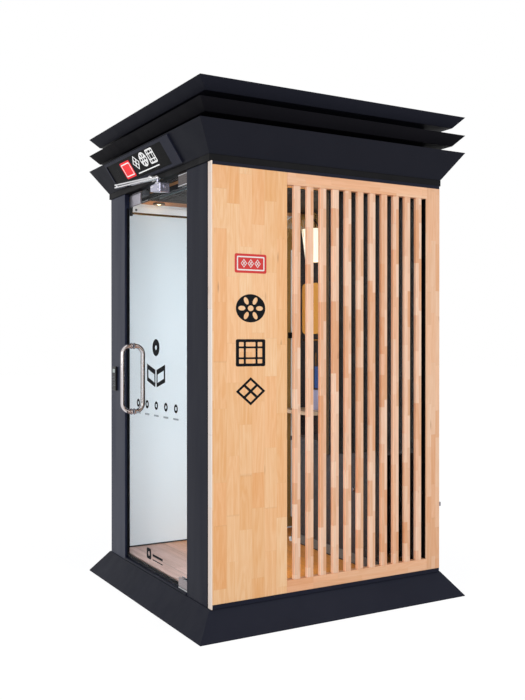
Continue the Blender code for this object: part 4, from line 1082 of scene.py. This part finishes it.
# The sign board on the fascia: a black panel in a raised dark frame, with a red tile and white medallions.
# The panel is gloss lacquer, and its figures are thin cut-outs lying on the slope.
SIGN_THICKNESS, FACE_THICKNESS = 0.010, 0.006
SIGN_GAP, FACE_GAP, SIGN_JOINT = 0.0003, 0.0005, 0.0006
FILM_LIFT, BORDER_LIFT = 0.0069, 0.0076
SLOPE_INSET = 0.090
SIGN_LOW_SHARE, SIGN_HIGH_SHARE = 0.05, 0.96
SIGN_BORDER = 0.014
SIGN_STRIP = 0.085
SIGN_TILE_X, SIGN_TILE_SHARE = -0.221, 0.505
SIGN_FIGURE_SIZE = (0.084, 0.078)
SIGN_RULE_X = 0.015
SIGN_FIGURES = ((diamond_medallion, -0.085), (rosette_medallion, SIGN_RULE_X), (lattice_medallion, 0.115))
sign_low, sign_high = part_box("sign_panel")
fascia_low, fascia_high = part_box("fascia")
slope_foot = Vector((0.0, fascia_low.y + SLOPE_INSET, fascia_low.z))
slope_rise = Vector((0.0, -SLOPE_INSET, fascia_high.z - fascia_low.z))
slope_up = slope_rise.normalized()
slope_out = Vector((0.0, -slope_up.z, slope_up.y))
slope_length = slope_rise.length


def lay_on_slope(piece, x, share, lift):
    """Lays a flat plate on the fascia: x along the front, share of the way up, lift above the sheet."""
    place = slope_foot + slope_up * (slope_length * share) + slope_out * lift
    rows = [(0.0, slope_up[i], slope_out[i], place[i]) for i in (1, 2)]
    piece.data.transform(Matrix(((1.0, 0.0, 0.0, x), *rows, (0.0, 0.0, 0.0, 1.0))))
    return piece


def lit_ink(name, colour, strength):
    """A translucent film on the sign's face, with a lamp behind it."""
    made = coated_metal(name, colour, 0.45, 0.0, 0.2)
    shader = made.node_tree.nodes["Principled BSDF"]
    set_inputs(made.node_tree, shader, {"Emission Color": (*colour, 1.0), "Emission Strength": strength})
    return made


sign_frame_coat = coated_metal("sign_frame_coat", (0.020, 0.022, 0.038), 0.35, 0.0, 0.05)
sign_face_coat = coated_metal("sign_face_coat", (0.003, 0.003, 0.004), 0.30, 0.0, 0.025)
sign_red = lit_ink("sign_red", (0.88, 0.014, 0.022), 0.42)
ink_white = lit_ink("ink_white", (0.92, 0.92, 0.90), 0.35)
sign_width = sign_high.x - sign_low.x
sign_height = (SIGN_HIGH_SHARE - SIGN_LOW_SHARE) * slope_length
sign_share = (SIGN_HIGH_SHARE + SIGN_LOW_SHARE) / 2
sign_middle = (sign_low.x + sign_high.x) / 2
face_width = sign_width - SIGN_STRIP - 2 * SIGN_BORDER
face_height = sign_height - 2 * SIGN_BORDER
face_x = sign_low.x + SIGN_BORDER + face_width / 2
opening = rounded_rectangle(face_width, face_height, 0.002, (face_x - sign_middle, 0.0))
frame_outline = rounded_rectangle(sign_width, sign_height, 0.003)
sign_frame = flat_shape("sign_frame", frame_outline, sign_frame_coat, [opening], SIGN_THICKNESS)
sign_frame = ease(sign_frame, 0.001)
stand_in(lay_on_slope(sign_frame, sign_middle, sign_share, SIGN_THICKNESS / 2 + SIGN_GAP), "sign_panel")
face_outline = rounded_rectangle(face_width - SIGN_JOINT, face_height - SIGN_JOINT, 0.002)
face_place = (face_x, sign_share, FACE_THICKNESS / 2 + FACE_GAP)
seat("sign_face", face_outline, sign_face_coat, lay_on_slope, face_place, thickness=FACE_THICKNESS)
tile_place = (SIGN_TILE_X, SIGN_TILE_SHARE, FILM_LIFT)
seat("sign_tile", rounded_rectangle(0.128, 0.092, 0.008), sign_red, lay_on_slope, tile_place)
border_outline, border_hole = rounded_rectangle(0.108, 0.072, 0.004), rounded_rectangle(0.096, 0.060, 0.003)
raised_place = (SIGN_TILE_X, SIGN_TILE_SHARE, BORDER_LIFT)
seat("sign_tile_border", border_outline, ink_white, lay_on_slope, raised_place, [border_hole])
for i, (shape, x) in enumerate(SIGN_FIGURES):
    outline, holes = shape(SIGN_FIGURE_SIZE)
    seat(f"sign_medallion_{i + 1}", outline, ink_white, lay_on_slope, (x, 0.60, FILM_LIFT), holes)
rule_place = (SIGN_RULE_X, 0.26, FILM_LIFT)
seat("sign_rule", rounded_rectangle(0.27, 0.006, 0.002), ink_white, lay_on_slope, rule_place)


# The ceiling: a panel of the same block timber, a recessed lamp that is on, and a vent plate under the fan.
# Trims run along its front edge and down the left wall, where a pale rail and a gold one lie side by side.
# Lamps that show in nothing light the room, and a small one gives the warm glow round the recessed lamp.
DOWN = (0.0, 0.0, -1.0)
BEZEL = [(0.0160, 0.0), (0.0160, 0.0070), (0.0300, 0.0118), (0.0340, 0.0105), (0.0350, 0.0080), (0.0350, 0.0)]
LENS = [(0.0001, 0.0100), (0.0090, 0.0085), (0.0158, 0.0045)]
EYELET = [(0.0001, 0.0004), (0.0060, 0.0004), (0.0070, 0.0)]
WALL_FACE = -0.600
FLOOR_TOP = 0.1405
RAIL_ENDS = (-0.556, 0.300)
VENT_THICKNESS = 0.004
VENT_COLUMNS, VENT_ROWS = 22, 2
VENT_X, VENT_Y = -0.400, -0.478
VENT_PITCH_X, VENT_PITCH_Y = 0.030, 0.034
COOL_LIGHT = (0.93, 0.97, 1.0)
GLOW_DROP, GLOW_SIZE, GLOW_POWER = 0.03, 0.06, 0.06
GLOW_LIGHT = (1.0, 0.66, 0.30)
under_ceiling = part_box("ceiling_panel")[0].z - 0.0003
# The ceiling's copy of the block timber is much darker than the side's: painted shade.
dress("ceiling_panel", block_board("ceiling_timber", (0.62, 0.27, 0.08), (0.32, 0.11, 0.025), 0.066, 0.3))
lamp_glow, tree, shader, place = new_material("lamp_glow")
warm = mixed_colour(tree, noise(tree, place, 60.0), (1.0, 0.76, 0.42), (1.0, 0.86, 0.60))
glow_values = {"Base Color": (0.9, 0.85, 0.7, 1.0), "Emission Color": warm, "Emission Strength": 5.0}
set_inputs(tree, shader, glow_values)
lamp_low, lamp_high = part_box("ceiling_light")
lamp_place = ((lamp_low.x + lamp_high.x) / 2, (lamp_low.y + lamp_high.y) / 2, lamp_high.z)
bronze = coated_metal("bronze_lacquer", (0.10, 0.07, 0.045), 0.30)
stand_in(lathe("ceiling_light_bezel", BEZEL, lamp_place, DOWN, bronze), "ceiling_light")
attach(lathe("ceiling_light_lens", LENS, lamp_place, DOWN, lamp_glow), "cabin")

taupe = coated_metal("taupe_lacquer", (0.026, 0.022, 0.020), 0.5, 0.0, 0.06)
pale_rail = coated_metal("pale_rail", (0.92, 0.97, 0.99), 0.35)
gold = brushed("gold_trim", (0.72, 0.40, 0.12), 0.20, (1.0, 9.0, 90.0))
eased_box("head_trim", (WALL_FACE, -0.590, 2.105), (0.560, -0.562, under_ceiling), dark_coat, 0.0006)
eased_box("head_trim_line", (-0.500, -0.5915, 2.1010), (-0.280, -0.5880, 2.1045), bright_edge, 0.0003)
edge_trim_corner = (WALL_FACE + 0.010, -0.572, 2.1045)
eased_box("wall_edge_trim", (WALL_FACE, -0.600, FLOOR_TOP), edge_trim_corner, dark_coat, 0.0006)
plate_corner = (-0.440, -0.5615, under_ceiling - 0.0012)
eased_box("head_dark_plate", plate_corner, (0.560, -0.5060, under_ceiling), dark_coat)
vent_holes = [
    rounded_rectangle(0.016, 0.020, 0.004, (VENT_X + i * VENT_PITCH_X, VENT_Y + row * VENT_PITCH_Y))
    for i in range(VENT_COLUMNS)
    for row in range(VENT_ROWS)
]
vent_outline = rounded_rectangle(0.740, 1.105, 0.006, (-0.070, 0.0475))
vent_plate = flat_shape("ceiling_vent_plate", vent_outline, taupe, vent_holes, VENT_THICKNESS)
vent_plate.data.transform(Matrix.Translation((0.0, 0.0, under_ceiling - VENT_THICKNESS / 2 - 2 * TOUCH)))
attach(vent_plate, "cabin")
cool_trim = coated_metal("cool_trim", (0.30, 0.37, 0.40), 0.35)
lip_corner = (-0.300, -0.5095, under_ceiling - 0.010)
eased_box("ceiling_vent_lip", lip_corner, (0.300, -0.5060, under_ceiling), cool_trim, 0.0004)
foot_line_corner = (WALL_FACE + 0.003, 0.419, 0.1475)
eased_box("wall_foot_line", (WALL_FACE, -0.571, FLOOR_TOP), foot_line_corner, dark_coat, 0.0004)
vent_corner = (-0.415, -0.490, under_ceiling - 0.0002)
eased_box("ceiling_vent_dark", vent_corner, (0.250, -0.430, under_ceiling), dark_coat)
for name, out, ends, levels, look, easing in (
    ("wall_rail", 0.014, RAIL_ENDS, (2.078, 2.114), pale_rail, 0.0012),
    ("wall_rail_gold", 0.010, RAIL_ENDS, (2.066, 2.0775), gold, 0.0010),
    ("wall_rail_clip", 0.020, (-0.567, -0.5565), (2.057, 2.117), dark_coat, 0.0008),
):
    low, high = (WALL_FACE, ends[0], levels[0]), (WALL_FACE + out, ends[1], levels[1])
    eased_box(name, low, high, look, easing)
eyelet_place = (WALL_FACE + 0.0141, -0.534, 2.092)
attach(lathe("wall_rail_eyelet", EYELET, eyelet_place, (1.0, 0.0, 0.0), dark_coat, 24), "cabin")
for name, height, tall, power in (
    ("room_lamp", 1.20, 1.8, 9.8),
    ("high_lamp", 1.98, 0.16, 1.4),
    ("low_lamp", 0.42, 0.3, 1.0),
):
    aim = (-0.6, -0.15, height - 0.03)
    soft_lamp(name, (0.50, -0.20, height), aim, (0.5, tall), power, COOL_LIGHT, unseen=True)
glow_place = (lamp_place[0], lamp_place[1], lamp_place[2] - GLOW_DROP)
soft_lamp("glow_lamp", glow_place, lamp_place, (GLOW_SIZE, GLOW_SIZE), GLOW_POWER, GLOW_LIGHT, unseen=True)
dress("fan_housing", gloss_black)
dress("fan_rotor", gloss_black)


# The desk and what is fixed over it: a dark top on a dark front, a timber shelf and a screen at the back.
# They show only between the slats, as do the cork strip, the lamp shade, the pin board and the book by them.
# The power inlet and a small grey lug are outside, at the back.
BACK_FACE = 0.641
LINING = 0.004
CORNER_PANEL = 0.585
TRIM_EASING = 0.001
DESK_TOP = 0.9055
KNOB = [(0.0001, 0.0110), (0.0085, 0.0105), (0.0100, 0.0085), (0.0100, 0.0015), (0.0120, 0.0)]
SHADE = [(0.060, 0.0), (0.085, 0.195), (0.083, 0.195), (0.058, 0.0)]
SHADE_PLACE = (-0.355, 0.548, 1.825)
dress("desk_top", dark_wall)
dress("wall_shelf", block_board("shelf_timber", (0.86, 0.64, 0.44), (0.70, 0.44, 0.26), 0.06, 0.25))
dress("screen", gloss_black)
dress("power_inlet", gloss_black)
back_lug_look = coated_metal("back_lug_grey", (0.27, 0.26, 0.30), 0.45)
eased_box("back_edge_lug", (0.594, 0.6723, 0.4635), (0.640, 0.6875, 0.4850), back_lug_look, 0.0012)
desk_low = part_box("desk_front")[0]
shelf_low, shelf_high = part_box("wall_shelf")
grey_trim = coated_metal("grey_trim", (0.155, 0.150, 0.142), 0.5)
white_trim = coated_metal("white_trim", (0.85, 0.87, 0.88), 0.4)
skirting_low = (desk_low.x, desk_low.y - 0.0050, 0.148)
eased_box("desk_skirting", skirting_low, (0.585, desk_low.y - 0.0003, 0.198), grey_trim, 0.0006)
end_low = (desk_low.x - 0.022, desk_low.y - 0.008, FLOOR_TOP)
end_high = (desk_low.x - 0.001, desk_low.y + 0.060, 0.165)
eased_box("desk_skirting_end", end_low, end_high, white_trim, TRIM_EASING)
knob_place = (0.363, desk_low.y, 0.543)
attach(lathe("desk_lock_knob", KNOB, knob_place, (0.0, -1.0, 0.0), polished_steel, 28), "cabin")

cork = speckled("golden_cork", (0.18, 0.09, 0.02), (0.42, 0.24, 0.07), 0.8, (1.0, 1.0, 1.0), 260.0, 4.0, 0.7)
under_shelf, over_shelf = shelf_low.z - 0.001, shelf_high.z + 0.001
for name, low_y, high_y, look in (
    ("cork_strip", 0.420, CORNER_PANEL - 0.001, cork),
    ("corner_panel", CORNER_PANEL, BACK_FACE, dark_wall),
):
    for part, low_z, high_z in (("lower", 0.150, under_shelf), ("upper", over_shelf, 2.050)):
        low, high = (WALL_FACE, low_y, low_z), (WALL_FACE + LINING, high_y, high_z)
        eased_box(f"{name}_{part}", low, high, look, 0.0006)
for name, low_z, high_z in (
    ("white_batten_lower", 0.212, under_shelf),
    ("white_batten_upper", over_shelf, 1.916),
):
    low, high = (WALL_FACE + LINING, 0.520, low_z), (WALL_FACE + 0.012, 0.535, high_z)
    eased_box(name, low, high, white_trim, 0.0008)
bracket_low = (WALL_FACE + LINING, 0.498, 1.352)
eased_box("shelf_bracket", bracket_low, (WALL_FACE + 0.030, 0.5195, 1.388), dark_coat, TRIM_EASING)

amber = laminate("amber_felt", (0.97, 0.44, 0.085), 0.7, 0.08)
pin_outline = rounded_rectangle(0.194, 0.321, 0.030, (-0.497, 1.5395))
seat("pin_board", pin_outline, amber, face_towards_door, (0.0, BACK_FACE - 0.0185, 0.0), thickness=0.036)
ledge_low = (WALL_FACE + 0.006, BACK_FACE - 0.030, 1.334)
eased_box("pin_board_ledge", ledge_low, (-0.400, BACK_FACE - 0.0005, 1.345), gold, TRIM_EASING)

book_blue = coated_metal("book_blue", (0.030, 0.095, 0.32), 0.5)
book_lavender = coated_metal("book_lavender", (0.42, 0.40, 0.58), 0.6)
stand_brown = coated_metal("stand_brown", (0.20, 0.09, 0.03), 0.5)
eased_box("book_upper", (-0.420, 0.585, 1.040), (-0.300, 0.600, 1.175), book_blue, TRIM_EASING)
eased_box("book_lower", (-0.420, 0.570, DESK_TOP), (-0.300, 0.584, 1.030), book_lavender, TRIM_EASING)
eased_box("book_stand", (-0.440, 0.602, DESK_TOP), (-0.434, 0.610, 1.260), stand_brown, TRIM_EASING)

shade_cloth, tree, shader, place = new_material("shade_cloth")
weave = mixed_colour(tree, noise(tree, place, 500.0), (1.0, 0.86, 0.62), (1.0, 0.94, 0.80))
cloth_values = {"Base Color": weave, "Emission Color": weave, "Emission Strength": 0.75, "Roughness": 0.9}
set_inputs(tree, shader, cloth_values)
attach(lathe("lamp_shade", SHADE, SHADE_PLACE, (0.0, 0.0, 1.0), shade_cloth, 48), "cabin")
fibre_look = speckled(
    "palm_fibre", (0.20, 0.09, 0.02), (0.85, 0.55, 0.20), 0.5, (1.0, 1.0, 1.0), 90.0, 2.0
)


def random_vector(tree, low, high):
    values = {"Min": low, "Max": high}
    return add_node(tree, "FunctionNodeRandomValue", values, data_type="FLOAT_VECTOR").outputs[0]


def fibre_fringe(name, count, reach, drop, thickness, look):
    """Geometry Nodes: thin strands that arch outwards from a middle, each of its own length and turn."""
    tree, given = geometry_tree(name, {"Count": count, "Reach": reach, "Drop": drop, "Thickness": thickness})
    middle = add_node(tree, "ShaderNodeCombineXYZ", {0: math_node(tree, "MULTIPLY", given["Reach"], 0.7)})
    low = math_node(tree, "MULTIPLY", given["Drop"], -1.0)
    tip = add_node(tree, "ShaderNodeCombineXYZ", {0: given["Reach"], 2: low})
    values = {"Resolution": 6, "Start": (0.0, 0.0, 0.0), "Middle": middle.outputs[0], "End": tip.outputs[0]}
    arch = add_node(tree, "GeometryNodeCurveQuadraticBezier", values).outputs["Curve"]
    roots = add_node(tree, "GeometryNodeMeshCircle", {"Vertices": given["Count"], "Radius": 0.006})
    turned = random_vector(tree, (-0.3, -0.5, 0.0), (0.3, 0.5, 6.28))
    grown = random_vector(tree, (0.5, 0.5, 0.5), (1.0, 1.0, 1.0))
    strand = thick_line(tree, arch, 4, given["Thickness"])
    return set_out(name, tree, look, roots.outputs["Mesh"], strand, Rotation=turned, Scale=grown)


fringe = fibre_fringe("lamp_fringe", 130, 0.135, 0.120, 0.0016, fibre_look)
fringe.data.transform(Matrix.Translation((-0.440, 0.500, 2.110)))
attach(fringe, "cabin")
stem_route = [(*SHADE_PLACE[:2], 2.020), (*SHADE_PLACE[:2], under_ceiling)]
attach(swept_tube("lamp_stem", stem_route, 0.003, dark_coat, 3), "cabin")
